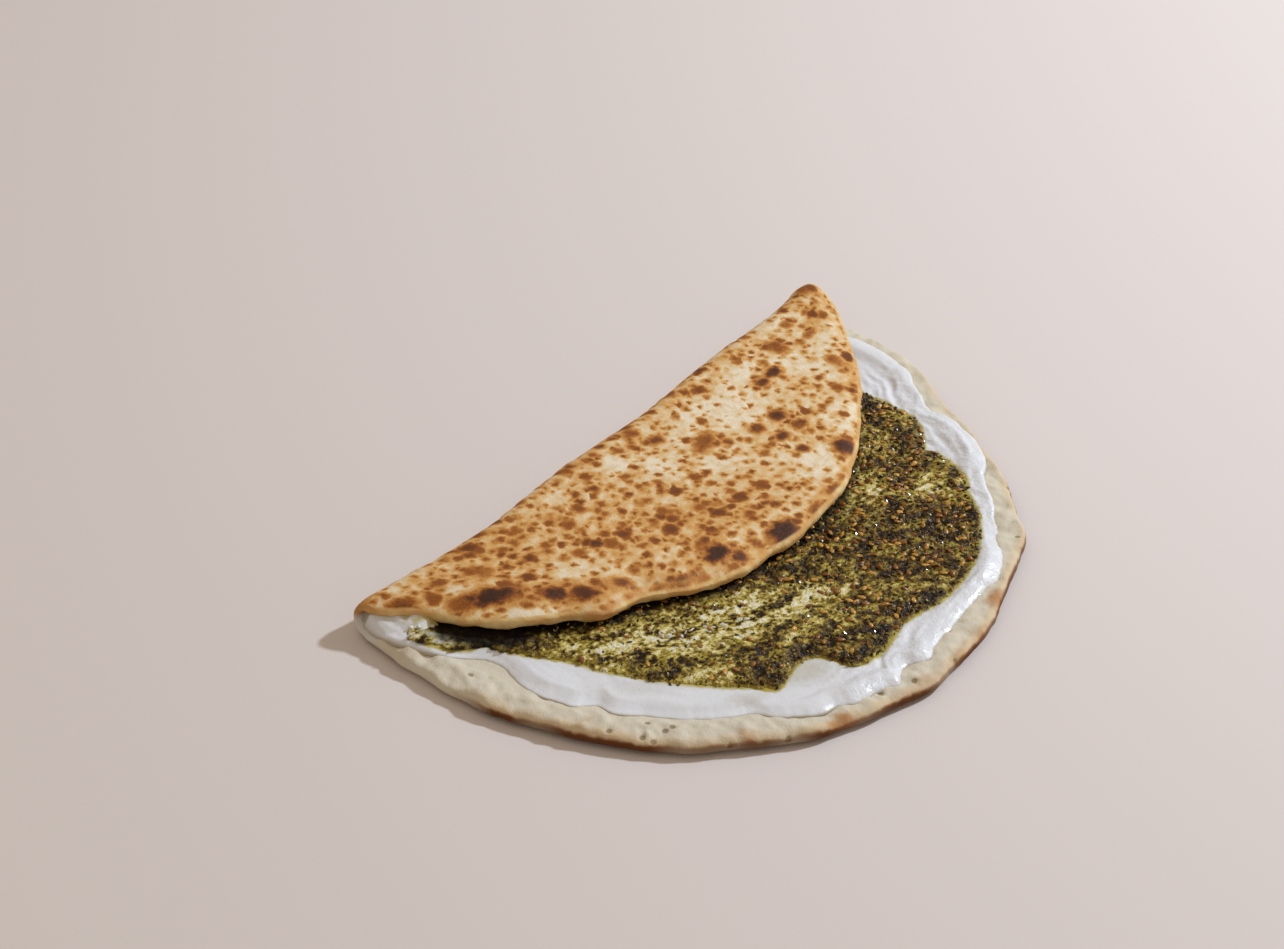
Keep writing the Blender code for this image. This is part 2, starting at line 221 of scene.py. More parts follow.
# Where the labneh is thin.
THIN_LABNEH = (
    (-60, -101, 20, 13, -35, 1.0), (-86, -94, 13, 6, -40, 0.7), (85, -60, 20, 12, 60, 0.3),
    (-105, -60, 30, 8, -50, 0.3), (-132, 40, 30, 20, -60, 0.5),
)
# Places where the herbs are thin: labneh shows at the first and green oil at the second.
PALE_PATCHES = (
    (-134, 15, 26, 12, -72, 1.0), (-130, 0, 14, 6, -50, 0.9), (-66, -58, 80, 18, -28, 0.6),
    (-76, -52, 30, 13, -28, 0.85), (-70, -55, 12, 8, -28, 1.0), (-50, -68, 26, 12, -26, 0.85),
    (-33, -77, 24, 9, -22, 0.9), (68, -78, 15, 8, 20, 0.55), (66, -84, 8, 6, 0, 0.5),
    (-84, -72, 12, 7, -20, 0.3), (-96, -40, 20, 10, -40, 0.5), (-20, -84, 22, 7, -25, 0.5),
    (-100, -28, 14, 10, -40, 0.4),
)
GREEN_PATCHES = (
    (-100, -38, 30, 26, -30, 0.9), (-60, -62, 120, 34, -28, 0.9), (-36, -90, 44, 16, -22, 0.8),
    (42, -62, 30, 16, 10, 0.9), (68, -78, 24, 18, 20, 0.9), (78, -44, 24, 20, 50, 0.8),
    (-86, -76, 26, 14, -30, 0.8), (30, -52, 40, 10, 5, 0.6), (-120, -12, 12, 22, 0, 0.7),
    (95, -35, 12, 20, 0, 0.5), (-8, -95, 30, 9, -25, 0.7), (4, -108, 24, 8, -20, 0.5),
    (54, -52, 20, 10, 20, 0.7), (-130, 8, 20, 20, 0, 0.6),
)
# Places where lumps of labneh lie on the herbs.
LUMP_PATCHES = (
    (-136, 21, 9, 5, 0, 0.6), (-124, 20, 7, 5, 0, 0.8), (-129, -1, 6, 4, -60, 1.0),
    (-125, -7, 6, 4, -40, 1.0), (-73, -54, 16, 7, -28, 0.5), (-64, -60, 12, 6, -28, 0.45),
    (67, -80, 10, 6, 20, 0.35), (-134, 24, 8, 5, -60, 0.8), (-52, -68, 14, 5, -26, 0.25),
)
# Where painted shade darkens the herbs in the hollow under the flap at its left end.
HOLLOW_SHADE = ((-118, 2.5, 36, 15, -53, 1.4),)

# Small round holes in the rim, as (x, y) on the flat disc in mm, with their size in mm and their depth.
PINHOLES = (
    (-131, -66), (-126, -77), (-125, -81), (-118, -81), (-115, -82), (-119, -74), (-109, -103),
    (-102, -112), (-93, -117), (-40, -136), (-19, -141), (-53, -130), (-137, -8), (-133, -14),
    (60, -121), (88, -101), (105, -82),
)
PINHOLE_SIZE = 2.4
PINHOLE_DEPTH = 0.5 * MM
# The kinds of browned spots: the space between them, the least radius, how much more it may be, all in
# mm, and the share that shows on dough that isn't toasted.
SPOT_KINDS = (
    (6.0, 0.9, 1.8, 0.46), (4.1, 0.5, 1.0, 0.26), (11.0, 1.7, 2.4, 0.36),
)
# Which way the spoon's streaks run in the herbs.
STREAK_TURN = math.radians(-28.0)

# How the scattered things lie: the inputs of their scatter trees beside spacing and density.
SEED_SCATTER = {
    "Least size": 0.95, "Most size": 1.3, "Tilt": 0.4,
    "Lift": 0.5 * MM, "Rough": 0.15 * MM, "Rough size": 2.0 * MM, "Seed": 5,
}
FLAKE_SCATTER = {
    "Least size": 0.4, "Most size": 1.6, "Tilt": 0.8,
    "Lift": 0.3 * MM, "Rough": 0.6 * MM, "Rough size": 0.8 * MM, "Seed": 9,
}
LUMP_SCATTER = {
    "Least size": 0.4, "Most size": 1.3, "Tilt": 0.4,
    "Lift": 0.6 * MM, "Rough": 0.9 * MM, "Rough size": 1.6 * MM, "Seed": 4,
}

# How finely the layers are meshed: rings round an edge's curve, how much wider the hidden mesh is and
# how far the lattice reaches. The passes are those that find the flap's edge.
EDGE_RINGS = 6
COARSE = 4
MESH_REACH = 160.0 * MM
FLAP_EDGE_PASSES = 12

# The camera, the key light and the floor.
CAMERA_EYE = Vector((-739.63, -454.11, 655.75)) * MM
CAMERA_AIM = Vector((8.66, 69.85, 0.0)) * MM
CAMERA_ROLL = math.radians(2.446)
CAMERA_LENS = 78.505
SENSOR_WIDTH = 36.0
KEY_DISTANCE = 2.0
KEY_TOWARD = Vector((0.68178, -0.34472, 0.643))
FLOOR_SIZE = 12.0
FLOOR_DROP = 0.2 * MM


def smooth(low, high, value):
    """0 below low, 1 above high and an even rise between."""
    t = np.clip((value - low) / (high - low), 0.0, 1.0)
    return t * t * (3.0 - 2.0 * t)


def fall(low, high, value):
    """1 below low, 0 above high and an even fall between."""
    return 1.0 - smooth(low, high, value)


def band(low, high, far, end, value):
    """1 from high to far, falling to 0 at low on one side and at end on the other."""
    return smooth(low, high, value) * fall(far, end, value)


def bulges(table, angle):
    """The sum of some bulges of an edge, each with its angle, its height and its width in degrees."""
    degrees = np.degrees(angle)
    return sum(size * np.exp(-(((degrees - at) / width) ** 2)) for at, size, width in table)


def disc_radius(angle):
    waves = sum(size * np.cos(crests * angle - math.radians(at)) for crests, size, at in DISC_WAVES)
    return DISC_RADIUS + waves + bulges(DISC_TIPS, angle)


def edge_radius(edge, angle):
    """The radius of a spread at an angle, on a smooth closed curve through its edge points."""
    at, reach = np.array(edge, float).T
    at = np.concatenate([at[-2:] - 360.0, at, at[:3] + 360.0])
    reach = np.concatenate([reach[-2:], reach, reach[:3]]) * MM
    degrees = np.degrees(angle)
    after = np.searchsorted(at, degrees, side="right")
    a0, a1, a2, a3 = (at[after + step] for step in (-2, -1, 0, 1))
    r0, r1, r2, r3 = (reach[after + step] for step in (-2, -1, 0, 1))
    t = (degrees - a1) / (a2 - a1)
    slope1 = (r2 - r0) / (a2 - a0) * (a2 - a1)
    slope2 = (r3 - r1) / (a3 - a1) * (a2 - a1)
    hold = 2 * t**3 - 3 * t**2 + 1
    return hold * r1 + (1 - hold) * r2 + (t**3 - 2 * t**2 + t) * slope1 + (t**3 - t**2) * slope2


def inset_of(edge_at, x, s):
    """How far in each place lies from an edge, whose radius edge_at gives for an angle."""
    return edge_at(np.arctan2(s, x)) - np.hypot(x, s)


def within(edge, x, s):
    """How far in each place lies from a spread's edge."""
    return edge_radius(edge, np.arctan2(s, x)) - np.hypot(x, s)


def fold_line(x):
    share = (x - FOLD_LEFT) / (FOLD_RIGHT - FOLD_LEFT)
    wave = FOLD_WAVE * np.cos(math.tau * (x - FOLD_WAVE_TROUGH) / FOLD_WAVE_LENGTH)
    return FOLD_LINE - wave + TIP_TURN * np.exp(-share / TIP_TURN_REACH)


def fold_radius(x):
    share = (x - FOLD_LEFT) / (FOLD_RIGHT - FOLD_LEFT)
    pinch = TIP_PINCH * np.exp(-share / TIP_PINCH_REACH)
    flare = TIP_FLARE * np.exp((share - 1.0) / TIP_FLARE_REACH)
    return FOLD_RADIUS - pinch + flare


def at_fold(x, s):
    """1 inside the bend, falling to 0 a little way outside it."""
    start, end = fold_line(x), fold_line(x) + math.pi * fold_radius(x)
    return band(start - BEND_FADE, start, end, end + BEND_FADE, s)


def unfolded(x, y):
    """The place across the disc of a point that shows at (x, y) on the flap."""
    return 2.0 * fold_line(x) + math.pi * fold_radius(x) + DISC_CENTRE.y - y


def flap_edge(x):
    """How far across the disc the free edge of the folded flap lies, seen from above."""
    far = np.full(len(x), DISC_RADIUS)
    # Each pass brings the edge's angle and its radius nearer to agreement.
    for _ in range(FLAP_EDGE_PASSES):
        far = np.sqrt(np.maximum(disc_radius(np.arctan2(far, x)) ** 2 - x * x, 0.0))
    return 2.0 * fold_line(x) + math.pi * fold_radius(x) - far


def grain(x, s, size, layer=0.0, stretch=1.0):
    """Smooth noise from about -1 to 1 in lumps of one size. Layers don't repeat each other."""
    return np.array([noise.noise((a / size, b / size / stretch, layer)) for a, b in zip(x, s)])


def wandering(angle, *layers):
    """How far an edge wanders, in mm, from layers of noise as (size in mm, height in mm, layer)."""
    x, s = np.cos(angle) * DISC_RADIUS, np.sin(angle) * DISC_RADIUS
    return sum(height * grain(x, s, size * MM, layer) for size, height, layer in layers)


def crumb_face(x, s):
    """The height of the bread's inner face: flat in the middle, puffed and bumpy along the rim."""
    inset = inset_of(disc_radius, x, s)
    rim = fall(RIM_CREST, RIM_FOOT, inset) * (1.0 - at_fold(x, s))
    bare = fall(0.0, RIM_CREST, inset)
    bumps = np.zeros(len(x))
    near = bare > 0.0
    bumps[near] = RIM_BUMPS * grain(x[near], s[near], BUMP_SIZE)
    return DOUGH + (RIM_PUFF + bumps * bare) * rim


def rounded(distance, width):
    """How much of its full depth a layer has at a distance in from its round edge."""
    short = 1.0 - np.minimum(distance / width, 1.0)
    return np.sqrt(np.maximum(1.0 - short * short, 0.0))


def labneh_face(x, s, distance):
    """The height of the labneh's upper face. Only the lower half keeps its thick lip.

    Its lower face is a little clear of the bread, and more so by the rim.
    """
    folded = at_fold(x, s)
    near_rim = fall(RIM_CREST, 1.5 * RIM_FOOT, inset_of(disc_radius, x, s))
    base = crumb_face(x, s) + CLEARANCE + EDGE_CLEARANCE * near_rim * (1.0 - folded)
    lip = fall(0.0, LABNEH_LIP_WIDTH, distance) * fall(0.0, fold_line(x), s)
    return base + (LABNEH_DEPTH + LABNEH_LIP * lip) * (1.0 - SQUEEZE * folded)


def lattice(spacing):
    """Places on a hexagonal lattice that covers the disc."""
    steps = (np.arange(-MESH_REACH, MESH_REACH, step) for step in (spacing, spacing * math.sqrt(0.75)))
    x, s = np.meshgrid(*steps)
    x[1::2] += spacing / 2
    return x.ravel(), s.ravel()


def nowhere(x, s, inset):
    return np.zeros(len(x), bool)


def inner_places(edge_at, width, spacing, fine):
    """Places inside a layer's curved edge, close together where fine(x, s, inset) holds."""
    places = []
    for step, wanted in ((spacing, True), (COARSE * spacing, False)):
        x, s = lattice(step)
        inset = inset_of(edge_at, x, s)
        keep = (inset > width + 0.6 * spacing) & (fine(x, s, inset) == wanted)
        places.append(np.column_stack([x[keep], s[keep]]))
    return np.concatenate(places)


def on_ring(angle, reach):
    return np.column_stack([reach * np.cos(angle), reach * np.sin(angle)])


def disc_mesh(name, edge_at, width, spacing, fine_outer, fine_inner):
    """A closed flat layer. Gives its mesh, and for each vertex x, s, the distance in and its side.

    The side is -1 on the outer face, 1 on the inner face and 0 on the very edge.
    """
    count = int(math.tau * DISC_RADIUS / spacing)
    angle = np.linspace(-math.pi, math.pi, count, endpoint=False)
    reach = edge_at(angle)
    ring = np.arange(count)
    after = np.roll(ring, -1)
    places = [on_ring(angle, reach)]
    distances, sides = [np.zeros(count)], [np.zeros(count)]
    faces = []
    total = count
    for side, fine in ((-1.0, fine_outer), (1.0, fine_inner)):
        last = ring
        for step in range(1, EDGE_RINGS + 1):
            inset = width * (1.0 - math.cos(math.pi / 2 * step / EDGE_RINGS))
            places.append(on_ring(angle, reach - inset))
            distances.append(np.full(count, inset))
            this = total + ring
            total += count
            corners = (last, last[after], this[after], this)
            if side < 0.0:
                corners = (last, this, this[after], last[after])
            faces.extend(np.column_stack(corners).tolist())
            last = this
        inside = inner_places(edge_at, width, spacing, fine)
        points = [Vector(p) for p in np.concatenate([places[-1], inside]).tolist()]
        found = delaunay_2d_cdt(points, [], [list(range(count))], 1, 1e-7)
        number = np.concatenate([last, total + np.arange(len(inside))])
        given = np.array([number[origins[0]] for origins in found[3]])
        triangles = given[np.array(found[2])]
        faces.extend((triangles if side > 0 else triangles[:, ::-1]).tolist())
        places.append(inside)
        distances.append(inset_of(edge_at, *inside.T))
        sides.append(np.full(count * EDGE_RINGS + len(inside), side))
        total += len(inside)
    x, s = np.concatenate(places).T
    mesh = bpy.data.meshes.new(name)
    mesh.from_pydata(np.column_stack([x, s, np.zeros(total)]).tolist(), [], faces)
    mesh.shade_smooth()
    return mesh, x, s, np.concatenate(distances), np.concatenate(sides)


def write_attributes(mesh, **values):
    """Stores one number for each vertex under each name, for a material or a node tree to read."""
    for name, numbers in values.items():
        stored = mesh.attributes.new(name, "FLOAT", "POINT")
        stored.data.foreach_set("value", np.asarray(numbers, np.float32))


def write_places(mesh, x, s, height):
    """Sets the flat layer's heights, and keeps its flat places in mm for the materials."""
    flat = np.column_stack([x, s, height])
    mesh.vertices.foreach_set("co", flat.astype(np.float32).ravel())
    kept = mesh.attributes.new("place", "FLOAT_VECTOR", "POINT")
    kept.data.foreach_set("vector", (flat / MM).astype(np.float32).ravel())


def write_spread(mesh, x, s, side, low, high, depth):
    """Sets a spread's heights: low on its outer face, and up to high on its inner face."""
    write_places(mesh, x, s, np.where(side > 0.0, low + (high - low) * depth, low))


def soft_spots(spots, x, y, ragged=0.0):
    """The strongest of some soft oval spots at each place. Places and sizes are in mm."""
    found = np.zeros(len(x))
    for at_x, at_y, length, width, turn, strength in spots:
        c, n = math.cos(math.radians(turn)), math.sin(math.radians(turn))
        along, across = (x - at_x) * c + (y - at_y) * n, (y - at_y) * c - (x - at_x) * n
        ratio = np.hypot(along / length, across / width) * 2.0 + ragged
        found = np.maximum(found, strength * (1.0 - smooth(0.35, 1.75, ratio)))
    return found


class Wire:
    """A node's output. Sums and products on it add Math nodes."""

    def __init__(self, nodes, socket):
        self.nodes = nodes
        self.socket = socket

    def __add__(self, other):
        return self.nodes.math("ADD", self, other)

    __radd__ = __add__

    def __sub__(self, other):
        return self.nodes.math("SUBTRACT", self, other)

    def __rsub__(self, other):
        return self.nodes.math("SUBTRACT", other, self)

    def __mul__(self, other):
        return self.nodes.math("MULTIPLY", self, other)

    __rmul__ = __mul__

    def __truediv__(self, other):
        return self.nodes.math("DIVIDE", self, other)

    def __rtruediv__(self, other):
        return self.nodes.math("DIVIDE", other, self)


class Nodes:
    """Adds nodes to one tree."""

    def __init__(self, tree):
        self.tree = tree

    def add(self, kind, inputs=None, stops=None, **settings):
        """A new node with its settings made first, and then its sockets linked or set."""
        node = self.tree.nodes.new(kind)
        for name, value in settings.items():
            setattr(node, name, value)
        if stops:
            while len(node.color_ramp.elements) < len(stops):
                node.color_ramp.elements.new(1.0)
            for element, (place, colour) in zip(node.color_ramp.elements, stops):
                element.position = place
                element.color = (*colour, 1.0)
        for key, value in (inputs or {}).items():
            if isinstance(key, int):
                socket = node.inputs[key]
            else:
                socket = next(s for s in node.inputs if s.enabled and key in (s.name, s.identifier))
            if isinstance(value, Wire):
                self.tree.links.new(value.socket, socket)
            else:
                socket.default_value = value
        return node

    def out(self, kind, output, inputs=None, **settings):
        """One output of a new node."""
        sockets = self.add(kind, inputs, **settings).outputs
        return Wire(self, next(s for s in sockets if s.enabled and output in (s.name, s.identifier)))

    def math(self, operation, *values):
        return self.out("ShaderNodeMath", "Value", dict(enumerate(values)), operation=operation)

    def limit(self, value):
        return self.out("ShaderNodeClamp", "Result", {"Value": value})

    def rise(self, low, high, value):
        """0 below low, 1 above high and an even rise between. A low above its high falls instead."""
        inputs = {"Value": value, "From Min": low, "From Max": high}
        return self.out("ShaderNodeMapRange", "Result", inputs, interpolation_type="SMOOTHSTEP")

    def mix(self, share, first, second):
        colours = [c if isinstance(c, Wire) else (*c, 1.0) for c in (first, second)]
        inputs = {"Factor_Float": share, "A_Color": colours[0], "B_Color": colours[1]}
        return self.out("ShaderNodeMix", "Result_Color", inputs, data_type="RGBA")

    def vector(self, operation, first, second):
        return self.out("ShaderNodeVectorMath", "Vector", {0: first, 1: second}, operation=operation)

    def scaled(self, vector, scale):
        inputs = {0: vector, "Scale": scale}
        return self.out("ShaderNodeVectorMath", "Vector", inputs, operation="SCALE")

    def combined(self, x, y, z=0.0):
        return self.out("ShaderNodeCombineXYZ", "Vector", {0: x, 1: y, 2: z})

    def moved(self, geometry, **how):
        """A geometry with its points at a new Position, or moved by an Offset."""
        return self.out("GeometryNodeSetPosition", "Geometry", {"Geometry": geometry, **how})

    def parts(self, vector):
        node = self.add("ShaderNodeSeparateXYZ", {0: vector})
        return [Wire(self, socket) for socket in node.outputs]

    def noise(self, place, size, detail, output="Fac"):
        """Soft noise with lumps of a size in the place's own unit."""
        inputs = {"Vector": place, "Scale": 1.0 / size, "Detail": detail}
        return self.out("ShaderNodeTexNoise", output, inputs)

    def cells(self, place, size):
        """The distance to the nearest of some scattered points, and 3 draws for each point."""
        inputs = {"Vector": place, "Scale": 1.0 / size}
        node = self.add("ShaderNodeTexVoronoi", inputs, voronoi_dimensions="2D")
        distance = Wire(self, node.outputs["Distance"]) * size
        draws = self.add("ShaderNodeSeparateColor", {0: Wire(self, node.outputs["Color"])})
        return distance, [Wire(self, socket) for socket in draws.outputs]

    def ramp(self, share, *stops):
        """The colour at a share of the way along some stops, each a place from 0 to 1 and a colour."""
        return Wire(self, self.add("ShaderNodeValToRGB", {"Fac": share}, stops=stops).outputs["Color"])

    def raised(self, value, target, share):
        """A value brought a share of the way up to a target, where it is below it."""
        return value + self.math("MAXIMUM", target - value, 0.0) * share


class Finish(Nodes):
    """A material under construction, with its pattern read from a piece's own attributes."""

    def __init__(self, name, **constants):
        self.material = bpy.data.materials.new(name)
        self.material.use_nodes = True
        super().__init__(self.material.node_tree)
        self.shader = self.tree.nodes["Principled BSDF"]
        for socket, value in constants.items():
            self.shader.inputs[socket.replace("_", " ")].default_value = value

    def number(self, name):
        return self.out("ShaderNodeAttribute", "Fac", attribute_name=name)

    def place(self):
        return self.out("ShaderNodeAttribute", "Vector", attribute_name="place")

    def object_mm(self):
        return self.scaled(self.out("ShaderNodeTexCoord", "Object"), 1.0 / MM)

    def feed(self, socket, value):
        self.tree.links.new(value.socket, self.shader.inputs[socket])

    def bump(self, height, depth, strength):
        """Feeds a relief whose full height is a depth in metres."""
        inputs = {"Height": height, "Distance": depth, "Strength": strength}
        self.feed("Normal", self.out("ShaderNodeBump", "Normal", inputs))


def new_tree(name, sizes):
    """A Geometry Nodes tree with a geometry, a material and named sizes as its inputs."""
    tree = bpy.data.node_groups.new(name, "GeometryNodeTree")
    face = tree.interface
    face.new_socket("Geometry", in_out="INPUT", socket_type="NodeSocketGeometry")
    face.new_socket("Material", in_out="INPUT", socket_type="NodeSocketMaterial")
    for size, value in sizes.items():
        kind = "NodeSocketInt" if isinstance(value, int) else "NodeSocketFloat"
        face.new_socket(size, in_out="INPUT", socket_type=kind)
    face.new_socket("Geometry", in_out="OUTPUT", socket_type="NodeSocketGeometry")
    nodes = Nodes(tree)
    given = tree.nodes.new("NodeGroupInput")
    return nodes, {socket.name: Wire(nodes, socket) for socket in given.outputs if socket.name}


def close_tree(nodes, geometry, material):
    """Ends a tree: its instances are made real and given their material."""
    real = nodes.out("GeometryNodeRealizeInstances", "Geometry", {"Geometry": geometry})
    done = nodes.out("GeometryNodeSetMaterial", "Geometry", {"Geometry": real, "Material": material})
    end = nodes.tree.nodes.new("NodeGroupOutput")
    nodes.tree.links.new(done.socket, end.inputs[0])
    return nodes.tree


def grow(name, mesh, tree, material, sizes):
    """Runs a tree on a mesh and leaves a plain mesh object at the origin."""
    obj = bpy.data.objects.new(name, mesh)
    bpy.context.scene.collection.objects.link(obj)
    modifier = obj.modifiers.new(tree.name, "NODES")
    modifier.node_group = tree
    named = {item.name: item.identifier for item in tree.interface.items_tree if item.in_out == "INPUT"}
    modifier[named["Material"]] = material
    for size, value in sizes.items():
        modifier[named[size]] = value
    graph = bpy.context.evaluated_depsgraph_get()
    done = bpy.data.meshes.new_from_object(
        obj.evaluated_get(graph), preserve_all_data_layers=True, depsgraph=graph
    )
    obj.modifiers.remove(modifier)
    obj.data = done
    done.name = name
    bpy.data.meshes.remove(mesh)
    if not done.polygons:
        raise RuntimeError(f"{name} came out empty")
    return obj


# The inputs of the fold's tree.
FOLD_SIZES = {
    "Fold left": FOLD_LEFT,
    "Fold right": FOLD_RIGHT,
    "Fold line": FOLD_LINE,
    "Fold wave": FOLD_WAVE,
    "Fold wave length": FOLD_WAVE_LENGTH,
    "Fold wave trough": FOLD_WAVE_TROUGH,
    "Tip turn": TIP_TURN,
    "Tip turn reach": TIP_TURN_REACH,
    "Bend radius": FOLD_RADIUS,
    "Tip pinch": TIP_PINCH,
    "Tip pinch reach": TIP_PINCH_REACH,
    "Tip flare": TIP_FLARE,
    "Tip flare reach": TIP_FLARE_REACH,
    "Dough": DOUGH,
    "Ripple": FLAP_RIPPLE,
    "Ripple length": FLAP_RIPPLE_LENGTH,
    "Ripple start": RIPPLE_START,
}


def fold_tree():
    """The tree that folds a flat layer over itself. A place on the layer is x, s and its height."""
    nodes, given = new_tree("fold", FOLD_SIZES)
    x, s, height = nodes.parts(nodes.out("GeometryNodeInputPosition", "Position"))
    left, right = given["Fold left"], given["Fold right"]
    share = (x - left) / (right - left)

    def fading(size, share_away):
        """A size that fades with the distance from an end of the fold."""
        return given[size] * nodes.math("EXPONENT", -1.0 * share_away / given[f"{size} reach"])

    crests = math.tau * (x - given["Fold wave trough"]) / given["Fold wave length"]
    wave = given["Fold wave"] * nodes.math("COSINE", crests)
    line = given["Fold line"] - wave + fading("Tip turn", share)
    radius = given["Bend radius"] - fading("Tip pinch", share) + fading("Tip flare", 1.0 - share)
    turn = nodes.math("MINIMUM", nodes.math("MAXIMUM", (s - line) / radius, 0.0), math.pi)
    past = nodes.math("MAXIMUM", s - line - math.pi * radius, 0.0)
    inward = height - given["Dough"] / 2.0
    start = nodes.rise(0.0, given["Ripple start"], past)
    ripple = given["Ripple"] * nodes.math("SINE", math.tau * x / given["Ripple length"]) * start
    y = nodes.math("MINIMUM", s, line) + (radius - inward) * nodes.math("SINE", turn) - past
    z = given["Dough"] / 2.0 + radius - (radius - inward) * nodes.math("COSINE", turn) + ripple
    place = nodes.vector("ADD", nodes.combined(x, y, z), tuple(DISC_CENTRE))
    return close_tree(nodes, nodes.moved(given["Geometry"], Position=place), given["Material"])


def on_root(piece, slot, *replaced):
    """Rides a finished piece on the one body and hides the model's parts that it replaces."""
    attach(piece, BODY)
    if replaced:
        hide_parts(*replaced)


def paint(red, green, blue):
    """A colour from its usual 0 to 255 values."""
    parts = (c / 255.0 for c in (red, green, blue))
    return tuple(c / 12.92 if c < 0.04045 else ((c + 0.055) / 1.055) ** 2.4 for c in parts)


def size_property(name, description, default):
    return bpy.props.FloatProperty(
        name=name, description=description, default=default, unit="LENGTH", precision=5
    )


def colour_property(name, description, default):
    return bpy.props.FloatVectorProperty(
        name=name, description=description, default=default, subtype="COLOR", size=3, min=0.0, max=1.0
    )


def number_property(name, description, default):
    return bpy.props.FloatProperty(name=name, description=description, default=default)


class BreadSettings(bpy.types.PropertyGroup):
    spacing: size_property("Mesh spacing", "Distance between the points of the fine mesh", 0.8 * MM)
    blister: size_property("Blister height", "How far the dark blisters stand up", 0.45 * MM)
    wrinkle: size_property("Wrinkle height", "Height of the soft waves in the skin", 0.35 * MM)
    bubble: size_property("Rim bubble height", "Height of the small bubbles on the rim", 1.3 * MM)
    cream: colour_property("Cream", "Dough that the griddle didn't touch", paint(230, 215, 188))
    tan: colour_property("Tan", "Dough that toasted a little", paint(212, 165, 100))
    brown: colour_property("Brown", "Browned spots", paint(156, 92, 34))
    char: colour_property("Char", "The middle of a dark blister", paint(68, 39, 24))
    crumb: colour_property("Crumb", "The pale rim and inner face", paint(206, 197, 177))


class LabnehSettings(bpy.types.PropertyGroup):
    spacing: size_property("Mesh spacing", "Distance between the points of the fine mesh", 0.8 * MM)
    ridge: size_property("Ridge height", "Height of the marks that the spoon left", 0.55 * MM)
    white: colour_property("White", "The spread itself", paint(220, 221, 224))
    thin: colour_property("Thin", "Where the spread is thin", paint(192, 188, 174))
    oil: colour_property("Oil", "Where oil from the herbs runs into it", paint(176, 160, 66))


class ZaatarSettings(bpy.types.PropertyGroup):
    spacing: size_property("Mesh spacing", "Distance between the points of the fine mesh", 0.6 * MM)
    crumble: size_property("Crumble height", "Height of the clumps of herb", 1.0 * MM)
    dark: colour_property("Dark", "Wet herbs", paint(50, 36, 14))
    olive: colour_property("Olive", "Herbs in oil", paint(106, 86, 34))
    green: colour_property("Green", "Oil over the labneh", paint(166, 146, 56))
    pale: colour_property("Pale", "Labneh that shows through", paint(222, 212, 160))


class SeedSettings(bpy.types.PropertyGroup):
    spacing: size_property("Spacing", "The least distance between two seeds", 2.2 * MM)
    density: number_property("Density", "Seeds for each square metre", 135000.0)
    length: size_property("Length", "Length of a seed", 3.2 * MM)
    width: size_property("Width", "Width of a seed", 1.8 * MM)
    height: size_property("Height", "Height of a seed", 0.9 * MM)
    gold: colour_property("Gold", "A pale seed", paint(206, 152, 64))
    brown: colour_property("Brown", "A dark seed", paint(134, 80, 28))


class FlakeSettings(bpy.types.PropertyGroup):
    spacing: size_property("Spacing", "The least distance between two flakes", 1.2 * MM)
    density: number_property("Density", "Flakes for each square metre", 380000.0)
    size: size_property("Size", "Width of a flake", 2.0 * MM)
    dark: colour_property("Dark", "A dark flake", paint(38, 28, 11))
    light: colour_property("Light", "A light flake", paint(150, 132, 62))


class CrumbSettings(bpy.types.PropertyGroup):
    spacing: size_property("Spacing", "The least distance between two lumps", 1.6 * MM)
    density: number_property("Density", "Lumps for each square metre", 260000.0)
    size: size_property("Size", "Width of a lump", 2.6 * MM)


class StageSettings(bpy.types.PropertyGroup):
    floor: colour_property("Floor", "The plain pale floor", paint(217, 207, 202))
    key: colour_property("Key light", "Its colour", (0.77, 0.87, 1.0))
    key_power: number_property("Key power", "In watts", 35.8)
    key_size: size_property("Key size", "How wide the key light is", 0.16)
    fill: colour_property("Fill light", "The colour of the pale world", (1.0, 0.86, 0.71))
    fill_strength: number_property("Fill strength", "Of the pale world", 0.5)


